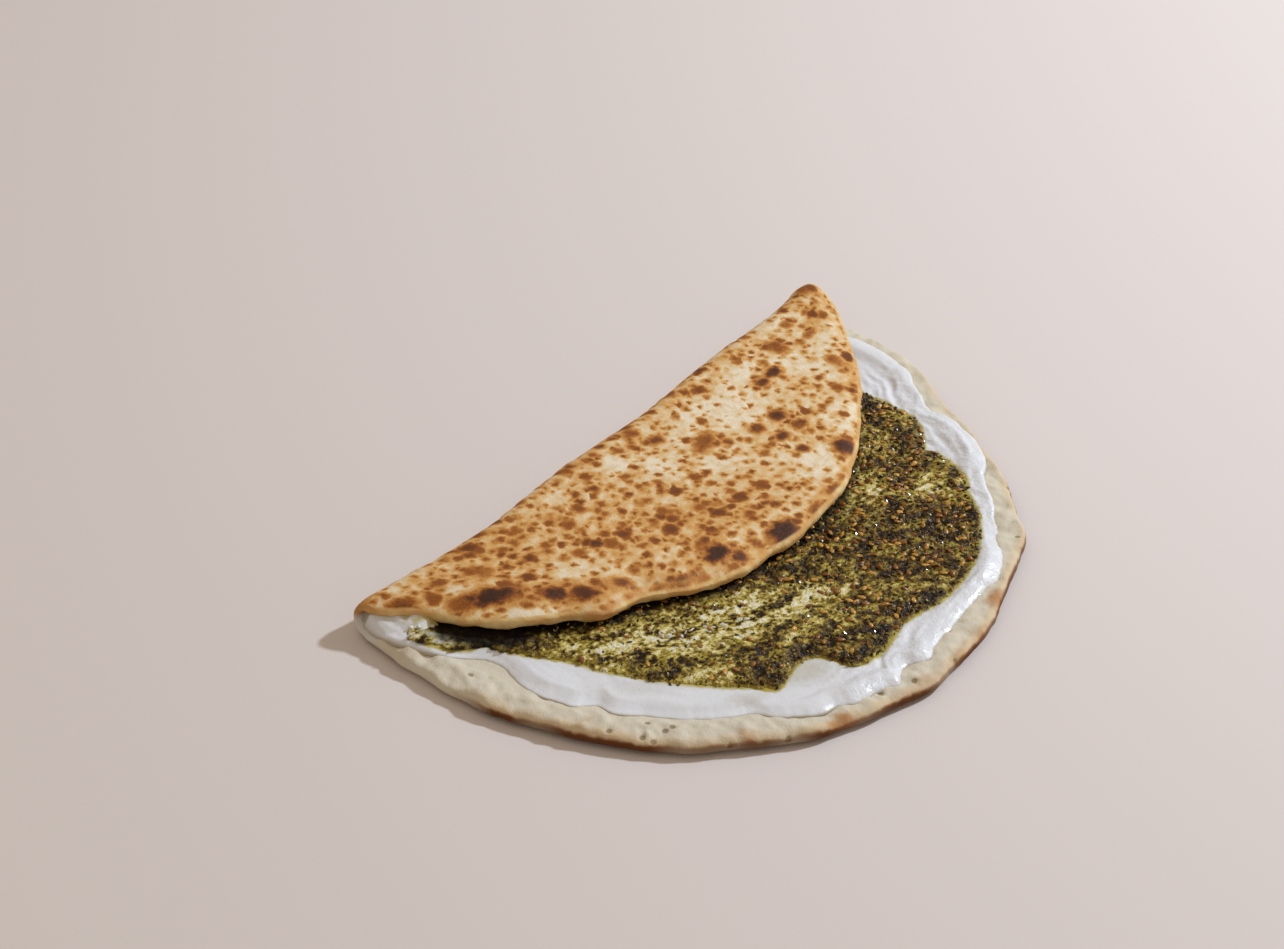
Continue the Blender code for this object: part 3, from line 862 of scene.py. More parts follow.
class MANAKISH_OT_make_bread(bpy.types.Operator):
    """Makes the folded bread: a browned, blistered flap and a pale puffed rim"""

    bl_idname = "manakish.make_bread"
    bl_label = "Bread"

    def execute(self, context):
        sizes = context.scene.manakish_bread

        def edge(angle):
            wander = wandering(angle, (13.0, 0.75, 40.0), (5.0, 0.35, 41.0))
            return disc_radius(angle) + wander * MM + bulges(FLAP_LOBES, angle)

        def fine_outer(x, s, inset):
            return s > fold_line(x) - 4.0 * MM

        def fine_inner(x, s, inset):
            return (inset < RIM_FOOT) & (s < 45.0 * MM)

        mesh, x, s, distance, side = disc_mesh(
            "bread", edge, RIM_ROUND, sizes.spacing, fine_outer, fine_inner
        )
        flat = x / MM, s / MM
        seen = x / MM + DISC_CENTRE.x / MM, unfolded(x, s) / MM
        turn = np.degrees(np.arctan2(s, x))
        past_line = s - fold_line(x)
        on_flap = smooth(0.0, 8.0 * MM, past_line)
        past_bend = smooth(12.0 * MM, 26.0 * MM, past_line)
        on_rim = fall(RIM_CREST, RIM_FOOT, distance)

        lumps = grain(x, s, 3.2 * MM, 3.0)
        torn = 0.35 * lumps + 0.25 * grain(x, s, 1.4 * MM, 4.0)
        char = soft_spots(BLISTERS, *seen, torn) * on_flap
        waves = 0.7 * grain(x, s, 16.0 * MM, 1.0) + 0.3 * grain(x, s, 6.0 * MM, 2.0)
        wrinkles = sizes.wrinkle * waves
        pucker = 0.35 * MM * grain(x, s, 5.0 * MM, 6.0, stretch=3.0) * at_fold(x, s)
        outward = (wrinkles + pucker + sizes.blister * char + 0.06 * MM * lumps) * on_flap
        bubbles = grain(x, s, 7.0 * MM, 8.0) * 0.8 + grain(x, s, 3.4 * MM, 9.0) * 0.35
        holes = soft_spots([(*at, PINHOLE_SIZE, PINHOLE_SIZE, 0, 1.0) for at in PINHOLES], *flat)
        puffs = (sizes.bubble * bubbles + self.dents(x, s) - PINHOLE_DEPTH * holes) * on_rim

        walled = band(102.0, 112.0, 124.0, 131.0, turn) * past_bend
        crease_at = (5.0 + 1.1 * grain(x, s, 16.0 * MM, 42.0)) * MM
        crease = np.exp(-(((distance - crease_at) / CREASE_WIDTH) ** 2)) * walled
        wall = fall(crease_at - 1.2 * MM, crease_at, distance) * walled
        droop = LIP_DROOP * walled * fall(0.0, 6.0 * MM, distance) + CREASE_DEPTH * crease
        hanging = FLAP_SAG * band(78.0, 96.0, 146.0, 158.0, turn)
        sag = 0.7 * MM * grain(x, s, 15.0 * MM, 43.0) + hanging
        sag = sag * fall(3.0 * MM, 18.0 * MM, distance) * past_bend
        curl = RIM_CURL * fall(0.0, RIM_CURL_REACH, distance)
        depth = np.where(side > 0.0, rounded(distance, INNER_ROUND), rounded(distance, RIM_ROUND))
        outer = RIM_EDGE + sag + (curl + droop - outward - RIM_EDGE) * depth
        inner = RIM_EDGE + sag + (crumb_face(x, s) + puffs - RIM_EDGE) * depth
        write_places(mesh, x, s, np.where(side > 0.0, inner, outer))

        toast = soft_spots(TOAST_WASHES, *seen, 0.3 * lumps)
        bare = soft_spots(BARE_PATCHES, *seen, 0.3 * lumps)
        ground = 0.22 + 0.75 * toast + 0.2 * grain(x, s, 11.0 * MM, 5.0) - 0.6 * bare
        at_tip = fall(-138.0 * MM, -116.0 * MM, x)
        toasted_edge = self.toasted_edge(x, s) * (1.0 - on_flap)
        edged = fall(1.2 * MM, 5.5 * MM, distance + 1.5 * MM * grain(x, s, 9.0 * MM, 45.0))
        write_attributes(
            mesh,
            char=char,
            crease=crease,
            wall=wall,
            holes=holes * on_rim * (side > 0.0),
            smear=at_tip * band(-14.0 * MM, -4.0 * MM, 6.0 * MM, 12.0 * MM, past_line),
            toasted_edge=toasted_edge,
            toast=np.clip(ground, 0.0, 1.0),
            wrap=side * (1.0 - np.sqrt(np.maximum(1.0 - depth * depth, 0.0))),
            flap=on_flap,
            rim=edged * toasted_edge * (side > 0.0),
            rim_brown=soft_spots(RIM_BROWN, *flat, 0.4 * lumps),
        )
        bread = grow("folded_bread", mesh, fold_tree(), self.finish(sizes), FOLD_SIZES)
        on_root(bread, "dough", "bread")
        return {"FINISHED"}

    def toasted_edge(self, x, s):
        """The toasting and painted shade of the rim's lower edge: along the front, less at the ends."""
        front = band(-180.0, -168.0, -24.0, -4.0, np.degrees(np.arctan2(s, x)))
        return np.clip(front * (0.85 + 0.5 * grain(x, s, 18.0 * MM, 44.0)), 0.0, 1.0)

    def dents(self, x, s):
        """Small round hollows and swellings pressed into the rim."""
        draw = np.random.default_rng(DENT_SEED)
        height = np.zeros(len(x))
        for _ in range(DENT_COUNT):
            angle, inset = draw.uniform(-math.pi, math.pi), draw.uniform(2.0, 17.0) * MM
            radius, rise = draw.uniform(1.6, 6.0) * MM, draw.uniform(-0.8, 0.8) * MM
            reach = disc_radius(angle) - inset
            near = np.hypot(x - reach * math.cos(angle), s - reach * math.sin(angle)) / radius
            height += rise * np.exp(-near * near * 1.5)
        return height

    def finish(self, sizes):
        """Cream dough with browned spots where it lay on the griddle."""
        look = Finish("baked dough", Specular_IOR_Level=0.2)
        place = look.place()
        stir = look.vector("SUBTRACT", look.noise(place, 2.6, 1.5, "Color"), (0.5, 0.5, 0.5))
        warped = look.vector("ADD", place, look.scaled(stir, 3.4))
        toast, char = look.number("toast"), look.number("char")
        fine = look.noise(place, 0.8, 3.0)
        cloudy = look.noise(place, 3.6, 3.0)
        broad = look.noise(place, 9.0, 2.0)

        # How far the dough is baked: toasted ground, then spots, then the dark blisters.
        baked = 0.05 + 0.36 * toast + 0.75 * (cloudy - 0.5) + 0.4 * (broad - 0.5) + 0.12 * (fine - 0.5)
        for size, least, more, share in SPOT_KINDS:
            distance, (draw, other, third) = look.cells(warped, size)
            radius = least + more * draw * (0.35 + 0.65 * toast)
            lit = look.rise(share + 0.12, share - 0.12, other - 0.6 * toast)
            inward = distance - radius + 1.2 * (cloudy - 0.5) + 0.8 * (fine - 0.5)
            middle = look.rise(0.4, -2.2, inward)
            target = 0.5 + 0.2 * third + 0.08 * toast + 0.13 * middle + 0.14 * (fine - 0.5)
            baked = look.raised(baked, target, look.rise(1.3, -1.1, inward) * lit)
        ragged = char + (fine - 0.5) * 0.35 * look.rise(0.0, 0.3, char) + (cloudy - 0.5) * 0.5 * char
        halo = 0.42 + 0.18 * look.rise(0.1, 0.5, ragged)
        baked = look.raised(baked, halo, look.rise(0.0, 0.22, ragged))
        core = 0.62 + 0.38 * look.rise(0.3, 1.0, ragged)
        baked = look.raised(baked, core, look.rise(0.22, 0.7, ragged))
        skin = look.ramp(
            look.limit(baked),
            (0.0, sizes.cream), (0.18, paint(221, 194, 150)), (0.36, sizes.tan),
            (0.52, paint(192, 134, 68)), (0.68, sizes.brown), (0.84, paint(116, 66, 32)),
            (1.0, sizes.char),
        )
        toasted = look.mix(look.rise(0.35, 0.65, cloudy), paint(214, 158, 88), paint(178, 112, 50))
        skin = look.mix(look.number("wall") * 0.6, skin, toasted)

        # The pale inner face and rim, with the browned lip of the flap.
        crumb = look.mix(look.rise(0.45, 0.75, cloudy) * 0.35, sizes.crumb, paint(204, 188, 154))
        blotches = look.rise(0.3, 0.6, broad * 0.6 + cloudy * 0.4)
        lip = look.mix(blotches, paint(226, 200, 142), paint(204, 156, 92))
        crumb = look.mix(look.number("flap"), crumb, lip)
        crumb = look.mix(look.number("rim") * 0.45, crumb, paint(206, 168, 108))
        patches = look.number("rim_brown")
        patches = patches + (cloudy - 0.5) * 0.5 * look.rise(0.0, 0.3, patches)
        crumb = look.mix(look.rise(0.1, 1.1, patches) * 0.85, crumb, paint(174, 120, 66))
        # Painted shade: the pinholes are darkened inside.
        crumb = look.mix(look.rise(0.3, 0.8, look.number("holes")) * 0.75, crumb, paint(122, 104, 64))
        crumb = look.mix(look.number("smear"), crumb, paint(206, 203, 196))

        outward = look.number("wrap") * -1.0
        surface = look.mix(look.rise(0.25, 0.6, outward + (fine - 0.5) * 0.1), crumb, skin)
        # The rim's lower edge is browned, and darkest at its very bottom, where painted shade stands in
        # for its shadow on the floor.
        edge_brown_and_shade = look.mix(look.rise(-0.4, -0.05, outward), paint(184, 126, 62), paint(98, 56, 24))
        low_edge = look.rise(-0.4, -0.08, outward + (cloudy - 0.5) * 0.4) * look.number("toasted_edge")
        surface = look.mix(low_edge, surface, edge_brown_and_shade)
        # Painted highlight: a light line along the crease in the flap's lip.
        crease_highlight = look.number("crease") * 0.12 * (1.0 - char)
        look.feed("Base Color", look.mix(crease_highlight, surface, paint(226, 204, 160)))
        look.feed("Roughness", 0.74 - 0.16 * char)
        look.bump(0.4 * fine + 0.8 * cloudy - 0.2 * baked, 0.7 * MM, 0.7)
        return look.material


class MANAKISH_OT_make_labneh(bpy.types.Operator):
    """Makes the labneh, with the ridges that the spoon left"""

    bl_idname = "manakish.make_labneh"
    bl_label = "Labneh"

    def execute(self, context):
        sizes = context.scene.manakish_labneh

        def edge(angle):
            wander = wandering(angle, (9.0, 0.4, 20.0), (3.0, 0.35, 26.0))
            return edge_radius(LABNEH_EDGE, angle) + wander * MM

        def fine_inner(x, s, inset):
            return (within(ZAATAR_EDGE, x, s) < 6.0 * MM) & (s < 60.0 * MM)

        mesh, x, s, distance, side = disc_mesh(
            "labneh", edge, LABNEH_ROUND, sizes.spacing, nowhere, fine_inner
        )
        degrees = np.degrees(np.arctan2(s, x))
        covered = within(ZAATAR_EDGE, x, s)
        shown = fall(-1.0 * MM, 3.0 * MM, covered) * (side > 0.0)
        worked = np.maximum.reduce([much * band(*reach, degrees) for *reach, much in WORKED_LABNEH])
        low = crumb_face(x, s) - LABNEH_SINK
        full = labneh_face(x, s, distance) + sizes.ridge * self.relief(x, s, distance, worked) * shown
        front = band(-124.0, -112.0, -72.0, -58.0, degrees)
        by_edge = fall(0.0, 9.0 * MM, distance)
        share = 1.0 - 0.7 * by_edge + 0.35 * by_edge * (worked - front)
        bank = 0.2 + 0.8 * np.clip(distance / (6.5 * MM), 0.0, 1.0)
        share = share + (bank - share) * front
        high = low + (full - low) * np.where(s < fold_line(x), share, 1.0) + self.plug(x, s, distance)
        write_spread(mesh, x, s, side, low, high, rounded(distance, LABNEH_ROUND))

        lumps = grain(x, s, 2.2 * MM, 15.0)
        width = (1.5 + 1.2 * grain(x, s, 16.0 * MM, 19.0)) * MM
        fringe = smooth(-1.0, 0.1, (covered + 0.8 * MM * lumps) / np.maximum(width, 0.5 * MM))
        plugged = fall(-126.0 * MM, -120.0 * MM, x) * (s > fold_line(x) - 26.0 * MM)
        crumbs = smooth(-0.1, 0.2, grain(x, s, 2.0 * MM, 46.0))
        bits = smooth(-138.0 * MM, -128.0 * MM, x) * crumbs * plugged
        write_attributes(
            mesh,
            oil=np.maximum(fringe * (1.0 - plugged), 0.9 * bits),
            thin=soft_spots(THIN_LABNEH, x / MM, s / MM, 0.4 * lumps),
            foot=fall(0.1 * MM, 1.0 * MM, distance),
            # Painted shade: a thin dark line in the crease where the labneh's foot meets the bread.
            gloss=band(-124.0, -112.0, -24.0, -8.0, degrees) * (side > 0.0),
        )
        labneh = grow("labneh_spread", mesh, fold_tree(), self.finish(sizes), FOLD_SIZES)
        on_root(labneh, "cream", "labneh")
        return {"FINISHED"}

    def relief(self, x, s, distance, worked):
        """The marks of the spoon, which run round the disc, with folds and dabs where it was worked."""
        turn = np.arctan2(s, x)
        around = (np.mod(turn - math.pi / 2, math.tau) + math.pi / 2) * DISC_RADIUS
        strokes = grain(around / 7.0, distance, 3.4 * MM, 13.0)
        swells = grain(around / 2.5, distance, 7.0 * MM, 14.0)
        wavy = distance + 2.5 * MM * grain(x, s, 11.0 * MM, 16.0)
        folds = 1.0 - 2.0 * np.abs(grain(around / 3.0, wavy, 5.0 * MM, 12.0))
        dabs = grain(x, s, 2.6 * MM, 17.0) + 0.5 * grain(x, s, 1.6 * MM, 18.0)
        marks = 0.6 * strokes + 0.5 * swells + worked * (1.2 * folds + 0.45 * dabs + 0.6 * strokes)
        return marks * smooth(0.0, 3.0 * MM, distance)

    def plug(self, x, s, distance):
        """How much higher the labneh stands where it fills the fold's left tip and the bend there."""
        past_line = s - fold_line(x)
        bend = math.pi * fold_radius(x)
        face = labneh_face(x, s, distance)
        to_flap = 2.0 * fold_radius(x) + 2.0 * DOUGH - crumb_face(x, s) - face - PLUG_GAP
        to_middle = fold_radius(x) + DOUGH - face - BEND_GAP
        in_fold = band(-22.0 * MM, -15.0 * MM, -1.5 * MM, 0.5 * MM, past_line)
        in_bend = band(-1.5 * MM, 0.5 * MM, bend, bend + 3.0 * MM, past_line)
        ragged = x + 2.5 * MM * grain(x, s, 4.0 * MM, 47.0)
        at_tip = fall(-128.0 * MM, -121.0 * MM, ragged) * smooth(0.2 * MM, 1.8 * MM, distance)
        return (np.maximum(to_flap, 0.0) * in_fold + np.maximum(to_middle, 0.0) * in_bend) * at_tip

    def finish(self, sizes):
        """Thick strained yoghurt, moist and faintly see-through."""
        look = Finish(
            "labneh", Subsurface_Weight=0.25, Subsurface_Scale=0.002, Subsurface_Radius=(1.0, 0.9, 0.75)
        )
        place = look.place()
        cloudy = look.noise(place, 9.0, 3.0)
        fine = look.noise(place, 1.2, 2.0)
        thin = look.limit(look.number("thin") * 0.8 + (cloudy - 0.5) * 0.3)
        colour = look.mix(thin, sizes.white, sizes.thin)
        specks = look.rise(0.70, 0.74, look.noise(place, 0.9, 1.0)) * look.rise(0.55, 0.65, cloudy)
        colour = look.mix(specks * 0.5, colour, paint(150, 138, 110))
        # Painted shade along the crease at the labneh's foot.
        colour = look.mix(look.number("foot") * 0.8, colour, paint(158, 142, 104))
        oil = look.number("oil")
        oily = look.limit(oil + (fine - 0.5) * 0.5 * oil)
        look.feed("Base Color", look.mix(oily, colour, sizes.oil))
        gloss = look.number("gloss")
        matt = look.rise(0.44, 0.58, look.noise(place, 4.5, 2.0)) * gloss
        look.feed("Roughness", 0.3 + 0.25 * (cloudy - 0.5) - 0.1 * oily - 0.09 * gloss + 0.3 * matt)
        rough = fine * (0.45 + 0.9 * gloss) + look.noise(place, 3.6, 2.0) * (1.1 + 0.3 * gloss)
        look.bump(rough + look.noise(place, 2.0, 1.0) * gloss * 0.7, 0.4 * MM, 0.45)
        return look.material


class MANAKISH_OT_make_zaatar(bpy.types.Operator):
    """Makes the bed of herbs and oil that the seeds and flakes lie on"""

    bl_idname = "manakish.make_zaatar"
    bl_label = "Za'atar"

    def execute(self, context):
        sizes = context.scene.manakish_zaatar

        def edge(angle):
            wander = wandering(angle, (7.0, 1.2, 21.0), (3.0, 1.5, 22.0), (1.3, 0.9, 29.0))
            wander = wander * (1.0 + 1.2 * np.exp(-(((np.degrees(angle) - 174.0) / 5.0) ** 2)))
            return edge_radius(ZAATAR_EDGE, angle) + wander * MM

        def in_view(x, s, inset=None):
            return s < flap_edge(x) + HERBS_UNDER_FLAP

        mesh, x, s, distance, side = disc_mesh(
            "zaatar", edge, ZAATAR_ROUND, sizes.spacing, nowhere, in_view
        )
        flat = x / MM, s / MM
        pale = soft_spots(PALE_PATCHES, *flat, 0.3 * grain(x, s, 3.0 * MM, 30.0))
        green = soft_spots(GREEN_PATCHES, *flat, 0.3 * grain(x, s, 4.0 * MM, 31.0))
        crumbly = 0.5 - np.abs(grain(x, s, 2.6 * MM, 24.0))
        clumps = 0.6 * grain(x, s, 3.8 * MM, 23.0) + 0.8 * crumbly + 0.3 * grain(x, s, 9.0 * MM, 25.0)
        slope = smooth(0.0, 2.5 * MM, distance) * (side > 0.0)
        relief = sizes.crumble * clumps * (1.0 - 0.6 * pale) * slope
        bed = labneh_face(x, s, within(LABNEH_EDGE, x, s))
        thick = CLEARANCE + ZAATAR_DEPTH * (1.0 - SQUEEZE * at_fold(x, s)) * (1.0 - 0.5 * pale)
        thick = 0.25 * MM + thick * (0.3 + 0.7 * smooth(0.0, 7.0 * MM, distance))
        depth = rounded(distance, ZAATAR_ROUND)
        write_spread(mesh, x, s, side, bed - ZAATAR_SINK, bed + thick + relief, depth)

        open_to_view = (side > 0.0) * in_view(x, s)
        # The hollow under the flap's left end, which is given painted shade.
        hollow_shade = soft_spots(HOLLOW_SHADE, *flat, 0.2 * grain(x, s, 3.0 * MM, 32.0))
        in_fold = smooth(-17.0 * MM, -9.0 * MM, s - fold_line(x))
        lit = open_to_view * fall(0.15, 0.6, hollow_shade)
        oily_edge = fall(0.2 * MM, 2.2 * MM, distance + 0.6 * MM * grain(x, s, 3.0 * MM, 27.0))
        more = 0.25 + 0.75 * smooth(-60.0 * MM, 30.0 * MM, x + 0.5 * (DISC_RADIUS * -0.5 - s))
        herds = smooth(-0.3, 0.5, grain(x, s, 9.0 * MM, 28.0))
        seeds = smooth(0.2 * MM, 1.6 * MM, distance) * more * (0.25 + 0.75 * herds) * (1.0 - 0.8 * pale)
        write_attributes(
            mesh,
            pale=pale,
            green=green,
            # Painted shade: the herbs are darker where the relief is low, between the clumps.
            clump=np.clip(0.5 + 0.6 * clumps, 0.0, 1.0),
            edge=oily_edge * (0.2 + 0.8 * smooth(-128.0 * MM, -112.0 * MM, x)),
            seeds_here=lit * seeds,
            flakes_here=lit * (1.0 - 0.94 * pale) * (1.0 - 0.7 * green),
            # Painted shade: under and just past the flap's free edge, deep in the fold and in the
            # hollow.
            under=np.maximum.reduce([smooth(-4.0 * MM, 3.0 * MM, s - flap_edge(x)), hollow_shade, in_fold]),
            lumps_here=open_to_view * soft_spots(LUMP_PATCHES, *flat),
        )
        zaatar = grow("zaatar_bed", mesh, fold_tree(), self.finish(sizes), FOLD_SIZES)
        on_root(zaatar, "herbs", "zaatar")
        return {"FINISHED"}

    def finish(self, sizes):
        """Crushed herbs soaked in oil, thinner and greener in patches, and streaked by the spoon."""
        look = Finish("herbs in oil", Specular_IOR_Level=0.17)
        place = look.place()
        x, s, _ = look.parts(place)
        along = x * math.cos(STREAK_TURN) + s * math.sin(STREAK_TURN)
        across = s * math.cos(STREAK_TURN) - x * math.sin(STREAK_TURN)
        streaked = look.combined(along * 0.5, across)
        pale, green, under = look.number("pale"), look.number("green"), look.number("under")
        fine = look.noise(place, 0.9, 2.0)
        clumps = look.rise(0.34, 0.66, look.noise(place, 2.8, 2.0))
        patches = look.rise(0.34, 0.66, look.noise(streaked, 6.5, 2.0))
        streaks = look.rise(0.36, 0.64, look.noise(streaked, 1.4, 2.0))
        broad = look.rise(0.36, 0.64, look.noise(streaked, 11.0, 1.0))

        # How far the labneh shows through the herbs, from wet dark herbs at 0 to plain labneh at 1.
        share = 0.17 + 0.3 * green + 0.24 * pale + 0.36 * (patches - 0.5)
        share = share + (0.34 + 0.3 * pale) * (clumps - 0.5) + (0.08 + 0.4 * pale) * (broad - 0.5)
        # Painted shade between the clumps, from the relief's height.
        share = share + 0.3 * (look.number("clump") - 0.5) + (0.4 - 0.28 * pale) * (fine - 0.5)
        share = share + (0.1 + 0.2 * green + 0.2 * pale) * (streaks - 0.5)
        share = look.math("MAXIMUM", share, look.number("edge") * 0.5)
        colour = look.ramp(
            look.limit(share),
            (0.0, paint(26, 17, 6)), (0.14, sizes.dark), (0.32, sizes.olive), (0.52, sizes.green),
            (0.70, paint(204, 188, 112)), (0.84, sizes.pale), (1.0, paint(224, 219, 200)),
        )
        amber = look.rise(0.58, 0.70, look.noise(place, 1.9, 1.0)) * (1.0 - pale)
        colour = look.mix(amber * 0.5, colour, paint(140, 92, 36))
        specks = look.rise(0.62, 0.70, look.noise(place, 1.0, 1.0))
        colour = look.mix(specks * 0.6 * (1.0 - 0.6 * pale), colour, sizes.dark)
        # Painted shade: the herbs turn near black where the flap shades them, under its edge and in the
        # hollow.
        look.feed("Base Color", look.mix(look.limit(under) * 0.97, colour, paint(16, 9, 4)))
        wet = look.rise(0.44, 0.56, look.noise(place, 2.2, 2.0))
        look.feed("Roughness", look.limit(0.55 - 0.33 * wet + 0.45 * under))
        look.bump(0.5 * fine + 0.3 * clumps, 1.3 * MM, 0.9)
        return look.material


def scatter_tree(name, here, sizes, shape, smooth_faces):
    """The tree that scatters one small shape on a surface, where an attribute named here allows it."""
    nodes, given = new_tree(name, sizes)

    def random(low, high, step):
        inputs = {"Min": low, "Max": high, "Seed": given["Seed"] + float(step)}
        return nodes.out("FunctionNodeRandomValue", "Value", inputs, data_type="FLOAT")

    share = nodes.out("GeometryNodeInputNamedAttribute", "Attribute", {"Name": here}, data_type="FLOAT")
    points = nodes.add(
        "GeometryNodeDistributePointsOnFaces",
        {
            "Mesh": given["Geometry"],
            "Distance Min": given["Spacing"],
            "Density Max": given["Density"],
            "Density Factor": share,
            "Seed": given["Seed"],
        },
        distribute_method="POISSON",
    )
    parts = ("Points", "Normal", "Rotation")
    scattered, normal, lying = (Wire(nodes, points.outputs[part]) for part in parts)
    tilt = given["Tilt"]
    tilts = [random(-1.0 * tilt, tilt, step) for step in (1, 2)]
    spin = {"Rotation": lying, "Rotate By": nodes.combined(*tilts, random(0.0, math.tau, 3))}
    turned = nodes.out("FunctionNodeRotateRotation", "Rotation", spin, rotation_space="LOCAL")
    least, most = given["Least size"], given["Most size"]
    size = nodes.combined(*(random(least, most, step) for step in (4, 5, 6)))
    raised = nodes.moved(scattered, Offset=nodes.scaled(normal, given["Lift"] * random(-0.7, 1.0, 7)))
    inputs = {"Points": raised, "Instance": shape(nodes), "Rotation": turned, "Scale": size}
    laid = nodes.out("GeometryNodeInstanceOnPoints", "Instances", inputs)
    tint = {"Geometry": laid, "Name": "tint", "Value": random(0.0, 1.0, 8)}
    tinted = nodes.out(
        "GeometryNodeStoreNamedAttribute", "Geometry", tint, data_type="FLOAT", domain="INSTANCE"
    )
    real = nodes.out("GeometryNodeRealizeInstances", "Geometry", {"Geometry": tinted})
    place = nodes.out("GeometryNodeInputPosition", "Position")
    inputs = {"Vector": place, "Scale": 1.0 / given["Rough size"], "Detail": 0.0}
    push = nodes.vector("SUBTRACT", nodes.out("ShaderNodeTexNoise", "Color", inputs), (0.5, 0.5, 0.5))
    rough = nodes.moved(real, Offset=nodes.scaled(push, given["Rough"]))
    inputs = {"Geometry": rough, "Shade Smooth": smooth_faces}
    shaded = nodes.out("GeometryNodeSetShadeSmooth", "Geometry", inputs)
    return close_tree(nodes, shaded, given["Material"])


def strew(name, here, settings, lying, shape, material, smooth_faces=True):
    """Scatters one small shape over a copy of the za'atar's finished mesh."""
    sizes = {"Spacing": settings.spacing, "Density": settings.density, **lying}
    bed = bpy.data.objects["zaatar_bed"].data.copy()
    return grow(name, bed, scatter_tree(name, here, sizes, shape, smooth_faces), material, sizes)


def drawn_out(nodes, ball, length, width, height, taper=0.0):
    """A ball of radius 1 drawn out to a length, a width and a height, and narrowed towards one end."""
    x, y, z = nodes.parts(nodes.out("GeometryNodeInputPosition", "Position"))
    narrow = y * (1.0 - taper * x) if taper else y
    place = nodes.combined(x * (length / 2), narrow * (width / 2), z * (height / 2))
    return nodes.moved(ball, Position=place)


def round_ball(nodes, subdivisions):
    inputs = {"Radius": 1.0, "Subdivisions": subdivisions}
    return nodes.out("GeometryNodeMeshIcoSphere", "Mesh", inputs)


class MANAKISH_OT_scatter_seeds(bpy.types.Operator):
    """Scatters toasted sesame seeds in the za'atar"""

    bl_idname = "manakish.scatter_seeds"
    bl_label = "Sesame seeds"

    def execute(self, context):
        sizes = context.scene.manakish_seeds

        def shape(nodes):
            inputs = {"Segments": 7, "Rings": 5, "Radius": 1.0}
            ball = nodes.out("GeometryNodeMeshUVSphere", "Mesh", inputs)
            return drawn_out(nodes, ball, sizes.length, sizes.width, sizes.height, taper=0.3)

        look = Finish("toasted sesame", Roughness=0.28, Specular_IOR_Level=0.35)
        colour = look.mix(look.rise(0.1, 0.85, look.number("tint")), sizes.gold, sizes.brown)
        shade = look.rise(0.45, 0.7, look.noise(look.object_mm(), 1.3, 1.0))
        look.feed("Base Color", look.mix(shade * 0.7, colour, paint(88, 62, 22)))
        seeds = strew("sesame_seeds", "seeds_here", sizes, SEED_SCATTER, shape, look.material)
        on_root(seeds, "herbs")
        return {"FINISHED"}


class MANAKISH_OT_scatter_flakes(bpy.types.Operator):
    """Scatters flakes of dried herb over the za'atar"""

    bl_idname = "manakish.scatter_flakes"
    bl_label = "Herb flakes"

    def execute(self, context):
        sizes = context.scene.manakish_flakes

        def shape(nodes):
            size = sizes.size
            return drawn_out(nodes, round_ball(nodes, 1), size, 0.62 * size, 0.3 * size)

        look = Finish("dried herb", Specular_IOR_Level=0.1, Coat_Roughness=0.18)
        colour = look.ramp(
            look.number("tint"),
            (0.0, sizes.dark), (0.4, paint(60, 42, 16)), (0.65, paint(98, 78, 30)),
            (0.85, sizes.light), (1.0, paint(130, 82, 34)),
        )
        look.feed("Base Color", colour)
        wet = look.rise(0.40, 0.50, look.noise(look.object_mm(), 3.0, 2.0))
        look.feed("Roughness", 0.6 - 0.3 * wet)
        look.feed("Coat Weight", wet)
        flakes = strew("herb_flakes", "flakes_here", sizes, FLAKE_SCATTER, shape, look.material, False)
        on_root(flakes, "herbs")
        return {"FINISHED"}


class MANAKISH_OT_scatter_lumps(bpy.types.Operator):
    """Scatters small lumps of labneh where they fell on the herbs"""

    bl_idname = "manakish.scatter_lumps"
    bl_label = "Labneh lumps"

    def execute(self, context):
        sizes = context.scene.manakish_lumps

        def shape(nodes):
            size = sizes.size
            return drawn_out(nodes, round_ball(nodes, 3), size, 0.75 * size, 0.6 * size)

        look = Finish("labneh lump", Roughness=0.4, Subsurface_Weight=0.25, Subsurface_Scale=0.002)
        place = look.object_mm()
        oily = look.rise(0.5, 0.75, look.noise(place, 2.0, 2.0))
        look.feed("Base Color", look.mix(oily * 0.8, paint(206, 203, 190), paint(190, 178, 116)))
        look.bump(look.noise(place, 0.8, 2.0), 0.3 * MM, 0.6)
        lumps = strew("labneh_lumps", "lumps_here", sizes, LUMP_SCATTER, shape, look.material)
        on_root(lumps, "cream")
        return {"FINISHED"}


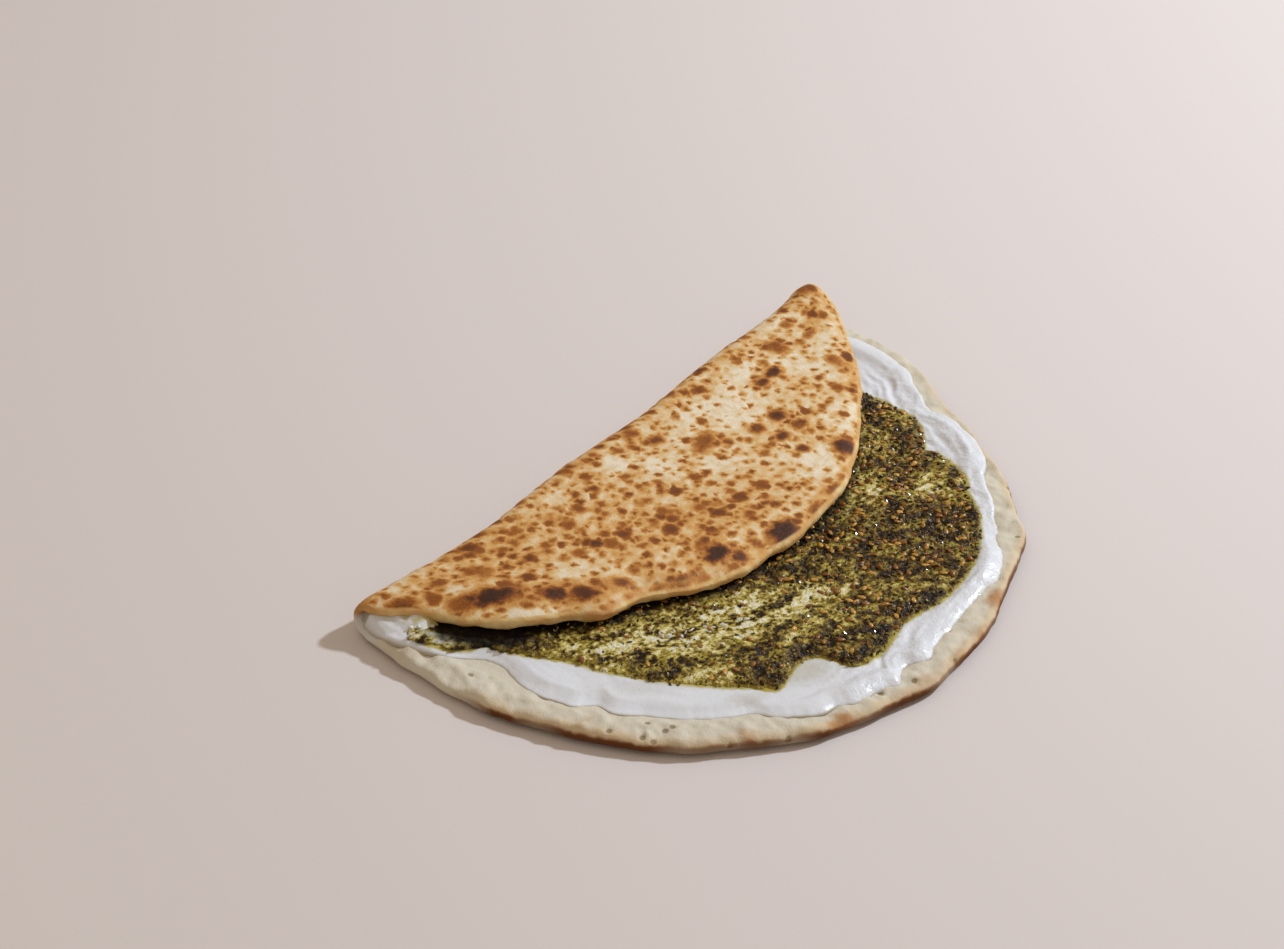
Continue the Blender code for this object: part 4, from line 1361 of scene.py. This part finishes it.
class MANAKISH_OT_set_stage(bpy.types.Operator):
    """Makes the floor, the lights and the camera"""

    bl_idname = "manakish.set_stage"
    bl_label = "Stage"

    def execute(self, context):
        sizes = context.scene.manakish_stage
        bpy.ops.mesh.primitive_plane_add(size=FLOOR_SIZE, location=(0.0, 0.0, -FLOOR_DROP))
        floor = context.object
        floor.name = "floor"
        look = Finish("plain floor", Roughness=0.9, Specular_IOR_Level=0.1)
        look.shader.inputs["Base Color"].default_value = (*sizes.floor, 1.0)
        floor.data.materials.append(look.material)

        lamp = bpy.data.lights.new("key", "AREA")
        lamp.shape = "DISK"
        lamp.size = sizes.key_size
        lamp.energy = sizes.key_power
        lamp.color = sizes.key
        key = bpy.data.objects.new("key", lamp)
        key.location = KEY_TOWARD * KEY_DISTANCE
        key.rotation_euler = (-KEY_TOWARD).to_track_quat("-Z", "Y").to_euler()
        context.scene.collection.objects.link(key)
        world = bpy.data.worlds.new("studio")
        world.use_nodes = True
        background = world.node_tree.nodes["Background"]
        background.inputs["Color"].default_value = (*sizes.fill, 1.0)
        background.inputs["Strength"].default_value = sizes.fill_strength
        context.scene.world = world

        lens = bpy.data.cameras.new("camera")
        lens.sensor_width = SENSOR_WIDTH
        lens.lens = CAMERA_LENS
        lens.clip_end = 20.0
        camera = bpy.data.objects.new("camera", lens)
        facing = (CAMERA_AIM - CAMERA_EYE).to_track_quat("-Z", "Y")
        turn = facing.to_matrix().to_4x4() @ Matrix.Rotation(CAMERA_ROLL, 4, "Z")
        camera.matrix_world = Matrix.Translation(CAMERA_EYE) @ turn
        context.scene.collection.objects.link(camera)
        context.scene.camera = camera
        context.scene.view_settings.view_transform = "Standard"
        return {"FINISHED"}


class MANAKISH_PT_panel(bpy.types.Panel):
    """Lists the pieces and their settings"""

    bl_label = "Manakish"
    bl_idname = "MANAKISH_PT_panel"
    bl_space_type = "VIEW_3D"
    bl_region_type = "UI"
    bl_category = "Manakish"

    def draw(self, context):
        for operator, settings in PIECES:
            box = self.layout.box()
            group = getattr(context.scene, settings)
            for name in group.bl_rna.properties.keys():
                if name not in ("rna_type", "name"):
                    box.prop(group, name)
            box.operator(operator.bl_idname)


SETTINGS = {
    "manakish_bread": BreadSettings,
    "manakish_labneh": LabnehSettings,
    "manakish_zaatar": ZaatarSettings,
    "manakish_seeds": SeedSettings,
    "manakish_flakes": FlakeSettings,
    "manakish_lumps": CrumbSettings,
    "manakish_stage": StageSettings,
}
PIECES = (
    (MANAKISH_OT_set_stage, "manakish_stage"),
    (MANAKISH_OT_make_bread, "manakish_bread"),
    (MANAKISH_OT_make_labneh, "manakish_labneh"),
    (MANAKISH_OT_make_zaatar, "manakish_zaatar"),
    (MANAKISH_OT_scatter_seeds, "manakish_seeds"),
    (MANAKISH_OT_scatter_flakes, "manakish_flakes"),
    (MANAKISH_OT_scatter_lumps, "manakish_lumps"),
)


def register():
    for name, group in SETTINGS.items():
        bpy.utils.register_class(group)
        setattr(bpy.types.Scene, name, bpy.props.PointerProperty(type=group))
    for operator, _ in PIECES:
        bpy.utils.register_class(operator)
    bpy.utils.register_class(MANAKISH_PT_panel)


def unregister():
    bpy.utils.unregister_class(MANAKISH_PT_panel)
    for operator, _ in reversed(PIECES):
        bpy.utils.unregister_class(operator)
    for name, group in reversed(SETTINGS.items()):
        delattr(bpy.types.Scene, name)
        bpy.utils.unregister_class(group)


def main():
    register()
    bpy.ops.manakish.set_stage()
    bpy.ops.manakish.make_bread()
    bpy.ops.manakish.make_labneh()
    bpy.ops.manakish.make_zaatar()
    bpy.ops.manakish.scatter_seeds()
    bpy.ops.manakish.scatter_flakes()
    bpy.ops.manakish.scatter_lumps()


if __name__ == "__main__":
    main()
